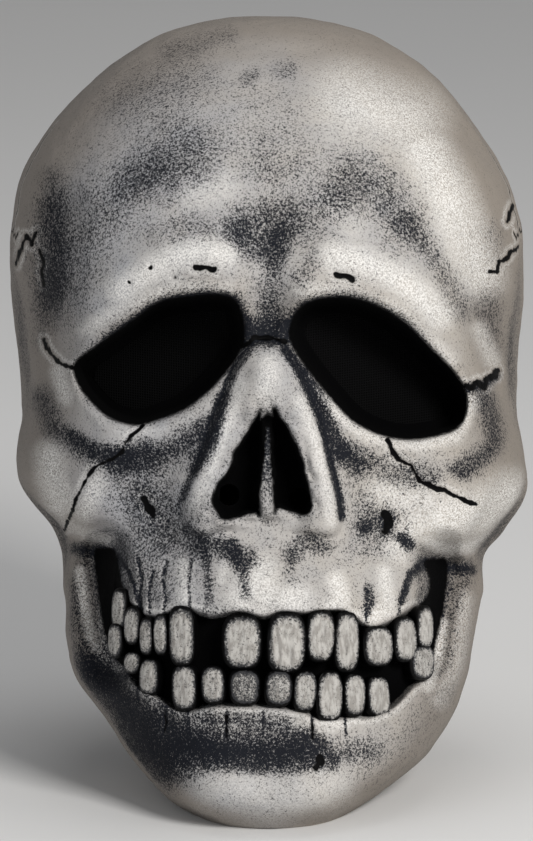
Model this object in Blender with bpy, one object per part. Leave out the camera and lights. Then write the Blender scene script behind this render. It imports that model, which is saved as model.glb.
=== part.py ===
"""Skull mask: a full head moulded in latex, with its teeth, standing on its neck rim.

The shape is worked out in the frame of the face: X runs to the viewer's right, Y to the back of the
head and Z from the chin to the crown. The whole mask is then tipped back by LEAN about X, so that
its flat neck rim lies on the ground, and set with the middle of its base at the origin.

Columns named across are shares of HALF_WIDTH from the middle of the face, and columns named up are
shares of FACE_HEIGHT above the chin.
"""

import math

import bmesh
import bpy
import numpy as np
from mathutils import Matrix

# Driving sizes, in metres
FACE_HEIGHT = 0.300
HALF_WIDTH = 0.0965
FACE_DEPTH = 0.106
BACK_DEPTH = 0.112
RELIEF = 0.010
WALL = 0.003
LEAN = math.radians(12)
RIM_FRONT = 0.090

# Eye sockets and the gauze behind them
SOCKET_DEPTH = 0.026
SOCKET_YAW = math.radians(30)
LEDGE = 0.005
GAUZE_THICKNESS = 0.001
GAUZE_LAP = 0.003
CLEARANCE = 0.0003

# Nose opening
NOSE_FLOOR = 0.090
SEPTUM_RECESS = 0.103
NOSTRIL_RADIUS = 0.004

# Mouth and teeth
MOUTH_DEPTH = 0.007
TOOTH_PROUD = 0.0032
TOOTH_ROOT = 0.0025

# A tooth's outline at its root, its shoulder and its crown: how far it stands out of the face,
# and its size as a share of the tooth's own. Its corners are cut back to TOOTH_CORNER of each side
TOOTH_LEVELS = (
    (-MOUTH_DEPTH - TOOTH_ROOT, 0.96),
    (0.45 * TOOTH_PROUD, 1.0),
    (TOOTH_PROUD, 0.86),
)
TOOTH_CORNER = 0.55

# Cutters start this far ahead of the widest place of the head
CUTTER_START = 2 * FACE_DEPTH

# A stroke falls to half its height at about its reach, and to nought at this many times it
REACH_TO_NOUGHT = 1.6

# The inside follows the modelling outwards no further than this share of RELIEF
SMOOTH_INSIDE = 0.3

# How finely the skin and its hollow are divided
ROWS_PER_SECTION = 3
FRONT_COLUMNS = 40
BACK_COLUMNS = 14
HOLLOW_ROWS_PER_SECTION = 1
HOLLOW_FRONT_COLUMNS = 24
HOLLOW_BACK_COLUMNS = 12

# Colours, as linear RGB
BONE = (0.47, 0.42, 0.36, 1.0)
GAUZE_BLACK = (0.012, 0.012, 0.013, 1.0)

# Level sections, from the crown down to a point under the rim.
# up, left and right half widths (of HALF_WIDTH), then from the widest place forwards
# (of FACE_DEPTH) and backwards (of BACK_DEPTH), squareness, and how far ahead of the middle the
# widest place lies (of FACE_DEPTH)
SECTIONS = np.array([
    (1.010, 0.000, 0.000, 0.00, 0.00, 2.1, 0.00),
    (0.995, 0.337, 0.326, 0.32, 0.34, 2.1, 0.00),
    (0.955, 0.581, 0.571, 0.54, 0.58, 2.1, 0.00),
    (0.904, 0.765, 0.734, 0.71, 0.76, 2.2, 0.00),
    (0.854, 0.887, 0.847, 0.83, 0.88, 2.2, 0.00),
    (0.803, 0.969, 0.938, 0.91, 0.95, 2.3, 0.00),
    (0.753, 1.000, 0.984, 0.96, 0.99, 2.3, 0.00),
    (0.702, 1.015, 1.000, 0.99, 1.00, 2.3, 0.00),
    (0.652, 1.010, 1.010, 0.98, 1.00, 2.3, 0.00),
    (0.602, 1.000, 0.994, 0.96, 0.98, 2.2, 0.00),
    (0.551, 0.974, 0.984, 0.95, 0.95, 2.2, 0.00),
    (0.501, 0.969, 0.979, 0.95, 0.91, 2.1, 0.00),
    (0.452, 0.984, 1.005, 0.96, 0.87, 2.1, 0.00),
    (0.402, 0.954, 1.020, 0.96, 0.82, 2.1, 0.00),
    (0.365, 0.873, 0.959, 0.94, 0.80, 2.1, 0.02),
    (0.328, 0.827, 0.863, 0.93, 0.77, 2.1, 0.04),
    (0.278, 0.796, 0.837, 0.91, 0.75, 2.1, 0.08),
    (0.229, 0.792, 0.807, 0.89, 0.73, 2.1, 0.12),
    (0.179, 0.751, 0.776, 0.84, 0.73, 2.1, 0.17),
    (0.130, 0.640, 0.714, 0.74, 0.78, 2.1, 0.25),
    (0.080, 0.530, 0.606, 0.61, 0.90, 2.2, 0.38),
    (0.031, 0.394, 0.409, 0.48, 1.00, 2.3, 0.50),
    (0.000, 0.240, 0.260, 0.30, 1.06, 2.3, 0.58),
    (-0.030, 0.160, 0.170, 0.17, 0.92, 2.2, 0.55),
    (-0.050, 0.000, 0.000, 0.00, 0.00, 2.1, 0.55),
])

# Strokes of modelling on the front: height (of RELIEF, below nought for a hollow),
# reach to each side (of HALF_WIDTH), then the points that the stroke runs through (across, up)
STROKES = (
    ("brow_left", 0.60, 0.12,
     ((-0.12, 0.66), (-0.24, 0.69), (-0.38, 0.69), (-0.53, 0.665), (-0.66, 0.63), (-0.79, 0.585))),
    ("brow_right", 0.60, 0.12,
     ((0.11, 0.665), (0.26, 0.69), (0.43, 0.67), (0.59, 0.64), (0.73, 0.60), (0.84, 0.555))),
    ("nasal_bone", 0.65, 0.10, ((0.0, 0.585), (0.0, 0.53))),
    ("nose_rim_left", 0.60, 0.085,
     ((-0.04, 0.56), (-0.12, 0.51), (-0.20, 0.465), (-0.26, 0.415), (-0.25, 0.372))),
    ("nose_rim_right", 0.60, 0.085,
     ((0.04, 0.56), (0.11, 0.51), (0.17, 0.465), (0.22, 0.415), (0.22, 0.375))),
    ("cheek_left", 0.90, 0.19, ((-0.72, 0.476), (-0.79, 0.439), (-0.82, 0.40))),
    ("cheek_right", 0.90, 0.19, ((0.74, 0.464), (0.80, 0.426), (0.81, 0.389))),
    ("lid_left", 0.25, 0.09, ((-0.57, 0.476), (-0.40, 0.476), (-0.24, 0.503), (-0.13, 0.544))),
    ("lid_right", 0.25, 0.09, ((0.12, 0.55), (0.26, 0.494), (0.45, 0.457), (0.66, 0.464))),
    ("upper_gum", 0.30, 0.11, ((-0.56, 0.309), (-0.18, 0.293), (0.20, 0.293), (0.57, 0.303))),
    ("lower_gum", 0.25, 0.09, ((-0.45, 0.14), (-0.26, 0.124), (0.0, 0.117), (0.24, 0.11), (0.51, 0.14))),
    ("chin", 0.60, 0.21, ((-0.20, 0.05), (0.0, 0.04), (0.16, 0.05))),
    ("jaw_left", 0.25, 0.13, ((-0.57, 0.155), (-0.40, 0.10), (-0.20, 0.05))),
    ("jaw_right", 0.25, 0.13, ((0.60, 0.148), (0.41, 0.093), (0.20, 0.05))),
    ("forehead_left", 0.25, 0.32, ((-0.38, 0.84),)),
    ("forehead_right", 0.25, 0.32, ((0.48, 0.83),)),
    ("nasion", -0.55, 0.13, ((0.0, 0.627), (0.0, 0.60))),
    ("glabella", -0.25, 0.12, ((0.0, 0.75), (0.0, 0.66))),
    ("fossa_left", -0.50, 0.17, ((-0.45, 0.402), (-0.40, 0.352))),
    ("fossa_right", -0.50, 0.17, ((0.45, 0.389), (0.41, 0.34))),
    ("temple_left", -0.60, 0.12, ((-0.84, 0.754), (-0.87, 0.686), (-0.88, 0.60))),
    ("temple_right", -0.60, 0.11, ((0.84, 0.723), (0.87, 0.649), (0.90, 0.587))),
    ("buccal_left", -1.90, 0.09, ((-0.65, 0.335), (-0.65, 0.266), (-0.61, 0.20))),
    ("buccal_right", -1.90, 0.09, ((0.67, 0.325), (0.66, 0.272), (0.62, 0.21))),
    ("under_cheek_left", -0.60, 0.10, ((-0.78, 0.345), (-0.70, 0.33))),
    ("under_cheek_right", -0.60, 0.10, ((0.83, 0.325), (0.75, 0.32))),
    ("chin_groove", -0.30, 0.10, ((-0.32, 0.10), (0.0, 0.093), (0.28, 0.095))),
)

# Hollows on both sides of the head: depth (of RELIEF), reach (of HALF_WIDTH), then the points
# (distance behind the widest place of the head, of FACE_DEPTH, and up)
SIDE_HOLLOWS = (
    ("temple", 0.45, 0.26, ((-0.42, 0.62), (-0.18, 0.60))),
    ("under_arch", 0.55, 0.15, ((-0.42, 0.37), (-0.12, 0.36))),
    ("behind_jaw", 0.65, 0.18, ((0.22, 0.40), (0.26, 0.25), (0.10, 0.16))),
    ("ear", 0.35, 0.10, ((0.10, 0.47),)),
)

# Outlines of the openings, anticlockwise or clockwise (across, up)
SOCKET_LEFT = (
    (-0.75, 0.570), (-0.65, 0.595), (-0.53, 0.622), (-0.42, 0.646), (-0.30, 0.654), (-0.20, 0.656),
    (-0.13, 0.650), (-0.10, 0.632), (-0.09, 0.609), (-0.10, 0.590), (-0.15, 0.564), (-0.23, 0.536),
    (-0.32, 0.514), (-0.42, 0.501), (-0.51, 0.494), (-0.61, 0.503), (-0.68, 0.522), (-0.73, 0.543),
)
SOCKET_RIGHT = (
    (0.75, 0.546), (0.70, 0.567), (0.62, 0.592), (0.54, 0.617), (0.45, 0.637), (0.36, 0.649),
    (0.27, 0.653), (0.18, 0.649), (0.12, 0.639), (0.09, 0.624), (0.08, 0.604), (0.11, 0.582),
    (0.17, 0.555), (0.25, 0.524), (0.33, 0.498), (0.44, 0.481), (0.54, 0.476), (0.64, 0.480),
    (0.72, 0.488), (0.76, 0.503), (0.77, 0.525),
)
NOSE_LEFT = (
    (-0.025, 0.508), (-0.05, 0.504), (-0.08, 0.488), (-0.11, 0.471), (-0.14, 0.454), (-0.16, 0.435),
    (-0.20, 0.420), (-0.22, 0.403), (-0.20, 0.388), (-0.17, 0.379), (-0.11, 0.381), (-0.05, 0.387),
    (-0.025, 0.391),
)
NOSE_RIGHT = (
    (0.015, 0.508), (0.05, 0.504), (0.08, 0.494), (0.10, 0.480), (0.12, 0.460), (0.14, 0.441),
    (0.16, 0.424), (0.17, 0.407), (0.17, 0.392), (0.14, 0.383), (0.08, 0.388), (0.04, 0.394),
    (0.015, 0.392),
)
NOSE_MIDDLE = (
    (0.0, 0.509), (0.06, 0.49), (0.08, 0.45), (0.09, 0.40), (-0.01, 0.39), (-0.12, 0.395),
    (-0.11, 0.45), (-0.07, 0.485),
)
NOSTRILS = ((-0.15, 0.408), (0.12, 0.404))

# The mouth between the gums: across, upper gum line, lower gum line
MOUTH = (
    (-0.63, 0.268, 0.235), (-0.60, 0.290, 0.210), (-0.53, 0.270, 0.178), (-0.43, 0.258, 0.157),
    (-0.33, 0.270, 0.140), (-0.22, 0.259, 0.146), (-0.11, 0.265, 0.147), (-0.02, 0.258, 0.146),
    (0.05, 0.265, 0.144), (0.14, 0.263, 0.139), (0.20, 0.266, 0.130), (0.30, 0.265, 0.132),
    (0.39, 0.245, 0.133), (0.48, 0.254, 0.144), (0.56, 0.269, 0.169), (0.64, 0.265, 0.186),
    (0.66, 0.255, 0.210),
)

# Teeth: middle (across, up), width (of HALF_WIDTH) and height (of FACE_HEIGHT)
TEETH = (
    ("upper", -0.57, 0.266, 0.050, 0.048), ("upper", -0.52, 0.246, 0.056, 0.044),
    ("upper", -0.465, 0.233, 0.048, 0.043), ("upper", -0.41, 0.235, 0.050, 0.047),
    ("upper", -0.33, 0.234, 0.092, 0.069), ("upper", -0.10, 0.227, 0.138, 0.063),
    ("upper", 0.07, 0.226, 0.135, 0.069), ("upper", 0.20, 0.234, 0.100, 0.059),
    ("upper", 0.30, 0.227, 0.088, 0.069), ("upper", 0.42, 0.221, 0.105, 0.046),
    ("upper", 0.525, 0.229, 0.080, 0.052), ("upper", 0.60, 0.244, 0.060, 0.049),
    ("lower", -0.585, 0.227, 0.050, 0.040), ("lower", -0.52, 0.200, 0.055, 0.025),
    ("lower", -0.455, 0.183, 0.067, 0.042), ("lower", -0.32, 0.170, 0.088, 0.053),
    ("lower", -0.21, 0.174, 0.085, 0.043), ("lower", -0.09, 0.171, 0.108, 0.041),
    ("lower", 0.04, 0.170, 0.098, 0.041), ("lower", 0.14, 0.166, 0.083, 0.047),
    ("lower", 0.235, 0.160, 0.092, 0.058), ("lower", 0.33, 0.161, 0.078, 0.049),
    ("lower", 0.42, 0.159, 0.082, 0.047), ("lower", 0.59, 0.200, 0.085, 0.040),
)


def clear_scene():
    for old in list(bpy.data.objects):
        bpy.data.objects.remove(old)


def smooth_step(low, high, value):
    share = np.clip((value - low) / (high - low), 0.0, 1.0)
    return share * share * (3.0 - 2.0 * share)


def sections_at(rows):
    """The columns of SECTIONS, read along a smooth curve (Catmull-Rom) at fractional row numbers."""
    past_pole = np.array([1, -1, -1, -1, -1, 1, 1])
    table = np.vstack([SECTIONS[1] * past_pole, SECTIONS, SECTIONS[-2] * past_pole])
    first = np.clip(np.floor(rows).astype(int), 0, len(SECTIONS) - 2)
    t = (rows - first)[:, None]
    a, b, c, d = (table[first + k] for k in range(4))
    return 0.5 * (
        2 * b + (c - a) * t + (2 * a - 5 * b + 4 * c - d) * t ** 2 + (3 * b - a - 3 * c + d) * t ** 3
    )


def columns(front, back):
    """Turns about the head, nought at the face, closer together across the face."""
    share = np.linspace(-1, 1, front + 1)
    face = 0.5 * np.arcsin(share) + 0.25 * math.pi * share
    rear = np.linspace(0.5 * math.pi, 1.5 * math.pi, back + 1)[1:-1]
    return np.concatenate([face, rear])


def base_points(rows, turns):
    """Points of the head without its modelling."""
    up, left, right, front, back, square, ahead = sections_at(rows).T[:, :, None]
    sine, cosine = np.sin(turns)[None, :], np.cos(turns)[None, :]
    half = np.where(sine < 0, left, right) * HALF_WIDTH
    middle = -ahead * FACE_DEPTH
    reach = np.where(cosine > 0, front * FACE_DEPTH, back * BACK_DEPTH)
    x = half * np.sign(sine) * np.abs(sine) ** (2 / square)
    y = middle - reach * np.sign(cosine) * np.abs(cosine) ** (2 / square)
    z = np.broadcast_to(up * FACE_HEIGHT, x.shape)
    return np.stack([x, y, z], axis=-1)


def base_front(x, z):
    """The Y of the face at (x, z), without its modelling."""
    dense = sections_at(np.linspace(0, len(SECTIONS) - 1, 40 * len(SECTIONS)))[::-1]
    left, right, front, square, ahead = (
        np.interp(z / FACE_HEIGHT, dense[:, 0], dense[:, k]) for k in (1, 2, 3, 5, 6)
    )
    half = np.where(x < 0, left, right) * HALF_WIDTH
    middle = -ahead * FACE_DEPTH
    bow = np.clip(1 - np.abs(x / half) ** square, 0, 1) ** (1 / square)
    return middle - front * FACE_DEPTH * bow


def distance_to_path(x, z, points):
    """Distance of each (x, z) from the broken line through the points."""
    nearest = np.hypot(x - points[0, 0], z - points[0, 1])
    for (ax, az), (bx, bz) in zip(points, points[1:]):
        length = (bx - ax) ** 2 + (bz - az) ** 2
        share = np.clip(((x - ax) * (bx - ax) + (z - az) * (bz - az)) / length, 0, 1)
        nearest = np.minimum(nearest, np.hypot(x - ax - share * (bx - ax), z - az - share * (bz - az)))
    return nearest


def strokes_at(x, z, strokes, width):
    """Sum of the strokes' heights at (x, z), each fading smoothly to nought at its reach."""
    total = np.zeros_like(x)
    for _, height, reach, path in strokes:
        distance = distance_to_path(x, z, np.array(path) * (width, FACE_HEIGHT))
        share = np.clip(distance / (REACH_TO_NOUGHT * reach * HALF_WIDTH), 0, 1)
        total += height * RELIEF * (1 - share ** 2) ** 2
    return total


def modelling(x, z):
    """How far the face stands out at (x, z)."""
    return strokes_at(x, z, STROKES, HALF_WIDTH)


def side_hollow(y, z):
    """How far the sides of the head are drawn in at (y, z)."""
    return strokes_at(y, z, SIDE_HOLLOWS, FACE_DEPTH)


def fades(turns):
    """How fully the face's modelling and the sides' hollows apply at each turn about the head."""
    return smooth_step(0.0, 0.35, np.cos(turns)), smooth_step(0.35, 0.8, np.abs(np.sin(turns)))


def mouth_floor(x, z):
    """How far the floor of the mouth lies behind the face at (x, z)."""
    across, upper, lower = np.array(MOUTH).T
    top = np.interp(x / HALF_WIDTH, across, upper) * FACE_HEIGHT
    bottom = np.interp(x / HALF_WIDTH, across, lower) * FACE_HEIGHT
    inside = (z < top) & (z > bottom) & (np.abs(x) < max(across) * HALF_WIDTH)
    return np.where(inside, MOUTH_DEPTH, 0.0)


def closed_mesh(name, points, faces):
    """A mesh object from points and faces, with its faces turned outwards."""
    mesh = bpy.data.meshes.new(name)
    mesh.from_pydata([tuple(map(float, p)) for p in points], [], faces)
    work = bmesh.new()
    work.from_mesh(mesh)
    bmesh.ops.triangulate(work, faces=work.faces, quad_method="SHORT_EDGE")
    bmesh.ops.recalc_face_normals(work, faces=work.faces)
    work.to_mesh(mesh)
    work.free()
    thing = bpy.data.objects.new(name, mesh)
    bpy.context.collection.objects.link(thing)
    return thing


def ball_mesh(name, grid):
    """A closed mesh from rings of points, whose first and last ring are each one point."""
    rings, around = grid.shape[:2]
    points = [grid[0, 0], *grid[1:-1].reshape(-1, 3), grid[-1, 0]]
    faces = []
    for k in range(around):
        after = (k + 1) % around
        faces.append((0, 1 + after, 1 + k))
        last = 1 + (rings - 3) * around
        faces.append((len(points) - 1, last + k, last + after))
        for ring in range(rings - 3):
            row = 1 + ring * around
            faces.append((row + k, row + after, row + around + after, row + around + k))
    return closed_mesh(name, points, faces)


def prism_mesh(name, outline, front, back):
    """A closed solid between two copies of an outline, whose points differ only in Y."""
    count = len(outline)
    points = [(x, y, z) for (x, z), y in zip(outline, front)]
    points += [(x, y, z) for (x, z), y in zip(outline, back)]
    sides = [(k, (k + 1) % count, count + (k + 1) % count, count + k) for k in range(count)]
    caps = [tuple(range(count)), tuple(range(2 * count - 1, count - 1, -1))]
    return closed_mesh(name, points, sides + caps)


def sized(outline):
    return np.array(outline) * (HALF_WIDTH, FACE_HEIGHT)


def grown(outline, by):
    """The outline moved outwards by a length, or inwards where it is below nought."""
    before, after = np.roll(outline, 1, axis=0), np.roll(outline, -1, axis=0)
    along = after - before
    normal = np.stack([along[:, 1], -along[:, 0]], axis=1)
    normal /= np.linalg.norm(normal, axis=1)[:, None]
    area = np.sum(outline[:, 0] * after[:, 1] - after[:, 0] * outline[:, 1])
    return outline + normal * by * np.sign(area)


def cut(target, tool, operation="DIFFERENCE"):
    """Adds a Boolean with a hidden tool to the target."""
    tool.hide_render = True
    tool.display_type = "WIRE"
    change = target.modifiers.new(tool.name, "BOOLEAN")
    change.operation = operation
    change.object = tool
    change.solver = "EXACT"
    change.use_self = operation == "UNION"


def skin():
    """The outside of the mask, closed below the rim."""
    rows = np.linspace(0, len(SECTIONS) - 1, ROWS_PER_SECTION * (len(SECTIONS) - 1) + 1)
    turns = columns(FRONT_COLUMNS, BACK_COLUMNS)
    points = base_points(rows, turns)
    x, y, z = np.moveaxis(points, 2, 0).copy()
    front_fade, side_fade = fades(turns)
    points[..., 0] -= np.sign(x) * side_hollow(y, z) * side_fade
    points[..., 1] -= modelling(x, z) * front_fade
    return ball_mesh("mask_shell", points)


def inward_normals(points):
    """Unit normals of a grid of points, turned towards the middle of each ring."""
    around = np.roll(points, -1, axis=1) - np.roll(points, 1, axis=1)
    normal = np.cross(around, np.gradient(points, axis=0))
    normal[0], normal[-1] = (0, 0, -1), (0, 0, 1)
    normal /= np.linalg.norm(normal, axis=2)[..., None]
    towards_middle = np.sum(normal * (points.mean(axis=1, keepdims=True) - points), axis=2)
    towards_middle[0] = towards_middle[-1] = 1
    return normal * np.sign(towards_middle)[..., None]


def hollow():
    """The inside, a wall's thickness behind the skin and behind its deepest modelling nearby."""
    rows = np.linspace(0, len(SECTIONS) - 1, HOLLOW_ROWS_PER_SECTION * (len(SECTIONS) - 1) + 1)
    turns = columns(HOLLOW_FRONT_COLUMNS, HOLLOW_BACK_COLUMNS)
    points = base_points(rows, turns)
    x, y, z = np.moveaxis(points, 2, 0)
    lowest, deepest = np.full(x.shape, SMOOTH_INSIDE * RELIEF), np.zeros(x.shape)
    for turn in np.linspace(0, 2 * math.pi, 12, endpoint=False):
        for radius in (WALL, 2.5 * WALL):
            across, up = radius * math.cos(turn), radius * math.sin(turn)
            front = modelling(x + across, z + up) - mouth_floor(x + across, z + up)
            lowest = np.minimum(lowest, front)
            deepest = np.maximum(deepest, side_hollow(y + across, z + up))
    inner = points + inward_normals(points) * WALL
    front_fade, side_fade = fades(turns)
    inner[..., 0] -= np.sign(x) * deepest * side_fade
    inner[..., 1] -= lowest * front_fade
    return ball_mesh("hollow", inner)


def socket_plane(x, depth):
    """Y on the slanted plane that lies this far behind the face at the middle of the sockets."""
    middle = 0.42 * HALF_WIDTH
    face = base_front(np.array([middle]), np.array([0.57 * FACE_HEIGHT]))[0]
    return face + depth + (np.abs(x) - middle) * math.tan(SOCKET_YAW)


def slanted_prism(name, outline, front_depth, back_depth):
    """A prism whose two ends lie on socket planes."""
    front = socket_plane(outline[:, 0], front_depth)
    back = socket_plane(outline[:, 0], back_depth)
    return prism_mesh(name, outline, front, back)


def add_eye(shell, inside, side, outline):
    """Sinks a socket with a wall round it, opens its floor, and sets gauze behind the ledge."""
    slant = 1 / math.cos(SOCKET_YAW)
    outline = sized(outline)
    floor = SOCKET_DEPTH
    seat = floor + WALL * slant
    gauze_front = seat + CLEARANCE * slant
    gauze_back = gauze_front + GAUZE_THICKNESS * slant
    sight = grown(outline, -LEDGE)
    cut(inside, slanted_prism(f"cup_{side}", grown(outline, WALL), -CUTTER_START, seat))
    cut(shell, slanted_prism(f"socket_{side}", outline, -CUTTER_START, floor))
    cut(shell, slanted_prism(f"sight_{side}", sight, -CUTTER_START, gauze_back))
    return slanted_prism(f"eye_gauze_{side}", grown(sight, GAUZE_LAP), gauze_front, gauze_back)


def flat_prism(name, outline, back):
    """A prism from in front of the face to this far ahead of the widest place of the head."""
    count = len(outline)
    return prism_mesh(name, outline, [-CUTTER_START] * count, [-back] * count)


def nostril(name, across, up):
    """A cutter for a round hole that goes well through the nose's floor."""
    turns = np.linspace(0, 2 * math.pi, 12, endpoint=False)
    middle = np.array([across * HALF_WIDTH, up * FACE_HEIGHT])
    outline = middle + NOSTRIL_RADIUS * np.stack([np.cos(turns), np.sin(turns)], axis=1)
    return flat_prism(name, outline, NOSE_FLOOR - 4 * WALL)


def nose_outline():
    """Both halves of the nose opening as one outline."""
    return sized(NOSE_RIGHT[::-1][:-1] + NOSE_LEFT[1:])


def add_nose(shell, inside):
    """Sinks the nose opening on both sides of its septum, with a breathing hole in each floor."""
    cut(inside, flat_prism("nose_cup", grown(nose_outline(), WALL), NOSE_FLOOR - WALL))
    cut(shell, flat_prism("nose_left", sized(NOSE_LEFT), NOSE_FLOOR))
    cut(shell, flat_prism("nose_right", sized(NOSE_RIGHT), NOSE_FLOOR))
    cut(shell, flat_prism("septum_top", sized(NOSE_MIDDLE), SEPTUM_RECESS))
    for side, (across, up) in zip(("left", "right"), NOSTRILS):
        cut(shell, nostril(f"nostril_{side}", across, up))


def add_mouth(shell):
    """Sinks the space between the gums, to a floor that follows the face."""
    points, faces = [], []
    for across, upper, lower in MOUTH:
        x = across * HALF_WIDTH
        high, low = upper * FACE_HEIGHT, lower * FACE_HEIGHT
        floors = base_front(np.array([x, x]), np.array([low, high])) + MOUTH_DEPTH
        points += [(x, -CUTTER_START, high), (x, -CUTTER_START, low)]
        points += [(x, floors[0], low), (x, floors[1], high)]
    for k in range(0, len(points) - 4, 4):
        for a in range(4):
            b = (a + 1) % 4
            faces.append((k + a, k + b, k + 4 + b, k + 4 + a))
    faces += [(3, 2, 1, 0), tuple(range(len(points) - 4, len(points)))]
    cut(shell, closed_mesh("mouth", points, faces))


def facing(x, z):
    """The Y of the face at (x, z), and the X and Y of the way it faces there, seen from above."""
    step = 0.01 * HALF_WIDTH
    left, face, right = base_front(np.array([x - step, x, x + step]), np.full(3, z))
    slope = (right - left) / (2 * step)
    length = math.hypot(slope, 1.0)
    return face, slope / length, -1.0 / length


def add_tooth(points, faces, across, up, width, height):
    """Adds a crowned block that stands out of the mouth's floor, square to the dental arch."""
    half_width, half_height = 0.5 * width * HALF_WIDTH, 0.5 * height * FACE_HEIGHT
    outline = ((-1, -TOOTH_CORNER), (-TOOTH_CORNER, -1), (TOOTH_CORNER, -1), (1, -TOOTH_CORNER))
    outline += tuple((-a, -b) for a, b in outline)
    start = len(points)
    for proud, share in TOOTH_LEVELS:
        for a, b in outline:
            x = across * HALF_WIDTH + a * share * half_width
            z = up * FACE_HEIGHT + b * share * half_height
            face, sideways, forwards = facing(x, up * FACE_HEIGHT)
            points.append((x + 0.5 * sideways * proud, face + forwards * proud, z))
    count = len(outline)
    for level in range(len(TOOTH_LEVELS) - 1):
        row = start + level * count
        for k in range(count):
            after = (k + 1) % count
            faces.append((row + k, row + after, row + count + after, row + count + k))
    faces.append(tuple(range(start, start + count)))
    faces.append(tuple(range(start + 2 * count, start + 3 * count)))


def add_teeth(shell):
    points, faces = [], []
    for _, across, up, width, height in TEETH:
        add_tooth(points, faces, across, up, width, height)
    cut(shell, closed_mesh("teeth", points, faces), "UNION")


def cut_rim(shell):
    """Cuts the mask off along the plane that it stands on."""
    reach = 2 * FACE_HEIGHT
    box = [(x, y, z) for x in (-reach, reach) for y in (-reach, reach) for z in (-reach, 0.0)]
    faces = [(0, 1, 3, 2), (4, 6, 7, 5), (0, 4, 5, 1), (2, 3, 7, 6), (0, 2, 6, 4), (1, 5, 7, 3)]
    tool = closed_mesh("below_rim", box, faces)
    tool.data.transform(Matrix.Rotation(LEAN, 4, "X"))
    tool.data.transform(Matrix.Translation((0.0, -RIM_FRONT, 0.0)))
    cut(shell, tool)


def finish_surface(thing, name, colour, roughness):
    material = bpy.data.materials.new(name)
    material.use_nodes = True
    shader = material.node_tree.nodes["Principled BSDF"]
    shader.inputs["Base Color"].default_value = colour
    shader.inputs["Roughness"].default_value = roughness
    shader.inputs["Metallic"].default_value = 0.0
    thing.data.materials.clear()
    thing.data.materials.append(material)
    thing.data.shade_smooth()
    thing.data.set_sharp_from_angle(angle=math.radians(40))


def stand_on_rim(pieces):
    """Tips the pieces back and sets the middle of their common base at the origin."""
    holder = bpy.data.objects.new("mask_frame", None)
    bpy.context.collection.objects.link(holder)
    holder.rotation_euler.x = -LEAN
    for thing in bpy.data.objects:
        if thing is not holder:
            thing.parent = holder
    bpy.context.view_layer.update()
    graph = bpy.context.evaluated_depsgraph_get()
    corners = np.array([
        piece.matrix_world @ vertex.co
        for piece in pieces
        for vertex in piece.evaluated_get(graph).data.vertices
    ])
    low, high = corners.min(axis=0), corners.max(axis=0)
    holder.location = (-(low[0] + high[0]) / 2, -(low[1] + high[1]) / 2, -low[2])


def main():
    clear_scene()
    shell = skin()
    inside = hollow()
    gauze_left = add_eye(shell, inside, "left", SOCKET_LEFT)
    gauze_right = add_eye(shell, inside, "right", SOCKET_RIGHT)
    add_nose(shell, inside)
    cut(shell, inside)
    add_mouth(shell)
    add_teeth(shell)
    cut_rim(shell)
    finish_surface(shell, "painted latex", BONE, 0.75)
    finish_surface(gauze_left, "black gauze left", GAUZE_BLACK, 0.9)
    finish_surface(gauze_right, "black gauze right", GAUZE_BLACK, 0.9)
    stand_on_rim([shell, gauze_left, gauze_right])


main()
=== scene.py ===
"""Skull mask, dressed: a full head moulded in latex, painted as old bone, standing on its neck rim.

The shape is worked out in the frame of the face: X runs to the viewer's right, Y to the back of the
head and Z from the chin to the crown. on_the_ground() then tips it back by LEAN about X and sets it
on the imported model's gauzes. Columns named across are shares of HALF_WIDTH from the middle of the
face, and columns named up are shares of FACE_HEIGHT above the chin. Lengths are in metres.
"""

import math

import bpy
import numpy as np
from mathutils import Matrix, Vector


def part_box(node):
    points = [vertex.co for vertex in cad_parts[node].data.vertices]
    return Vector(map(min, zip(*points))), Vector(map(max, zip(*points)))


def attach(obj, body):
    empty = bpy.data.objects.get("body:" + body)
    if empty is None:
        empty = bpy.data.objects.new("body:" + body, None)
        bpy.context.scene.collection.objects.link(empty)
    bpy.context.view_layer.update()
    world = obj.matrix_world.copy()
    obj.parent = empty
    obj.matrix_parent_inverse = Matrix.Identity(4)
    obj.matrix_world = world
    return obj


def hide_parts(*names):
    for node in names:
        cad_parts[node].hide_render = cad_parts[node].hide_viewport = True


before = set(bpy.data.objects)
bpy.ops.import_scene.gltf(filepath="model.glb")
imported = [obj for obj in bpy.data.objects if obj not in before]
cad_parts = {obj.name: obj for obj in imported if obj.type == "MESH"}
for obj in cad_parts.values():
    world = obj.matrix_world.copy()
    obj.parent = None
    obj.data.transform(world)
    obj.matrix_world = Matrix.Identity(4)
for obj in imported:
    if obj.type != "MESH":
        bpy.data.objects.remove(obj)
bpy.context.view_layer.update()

# Sizes of the head
FACE_HEIGHT = 0.300
HALF_WIDTH = 0.0965
FACE_DEPTH = 0.106
BACK_DEPTH = 0.112
RELIEF = 0.010
WALL = 0.003
LEAN = math.radians(12)
RIM_FRONT = 0.090

# Eye sockets, nose opening, mouth and teeth
SOCKET_DEPTH = 0.026
SOCKET_YAW = math.radians(30)
LEDGE = 0.005
GAUZE_THICKNESS = 0.001
GAUZE_LAP = 0.003
CLEARANCE = 0.0003
NOSE_FLOOR = 0.090
SEPTUM_RECESS = 0.103
NOSTRIL_RADIUS = 0.004
MOUTH_DEPTH = 0.007
TOOTH_PROUD = 0.0032
TOOTH_ROOT = 0.0025
NOSE_BONE_PROUD = 0.0022
CHEEK_HOLLOW_DEPTH = 0.012
SOCKET_MIDDLE = (0.42, 0.57)
# The sight holes end this far inside the ledges, and the holes are cut only in front of this Y
SIGHT_INSET = 0.001
IN_FRONT = -0.01

# A stroke falls to nought at this many times its reach
REACH_TO_NOUGHT = 1.6
# The inside follows the modelling outwards no further than this share of RELIEF
SMOOTH_INSIDE = 0.3
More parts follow.
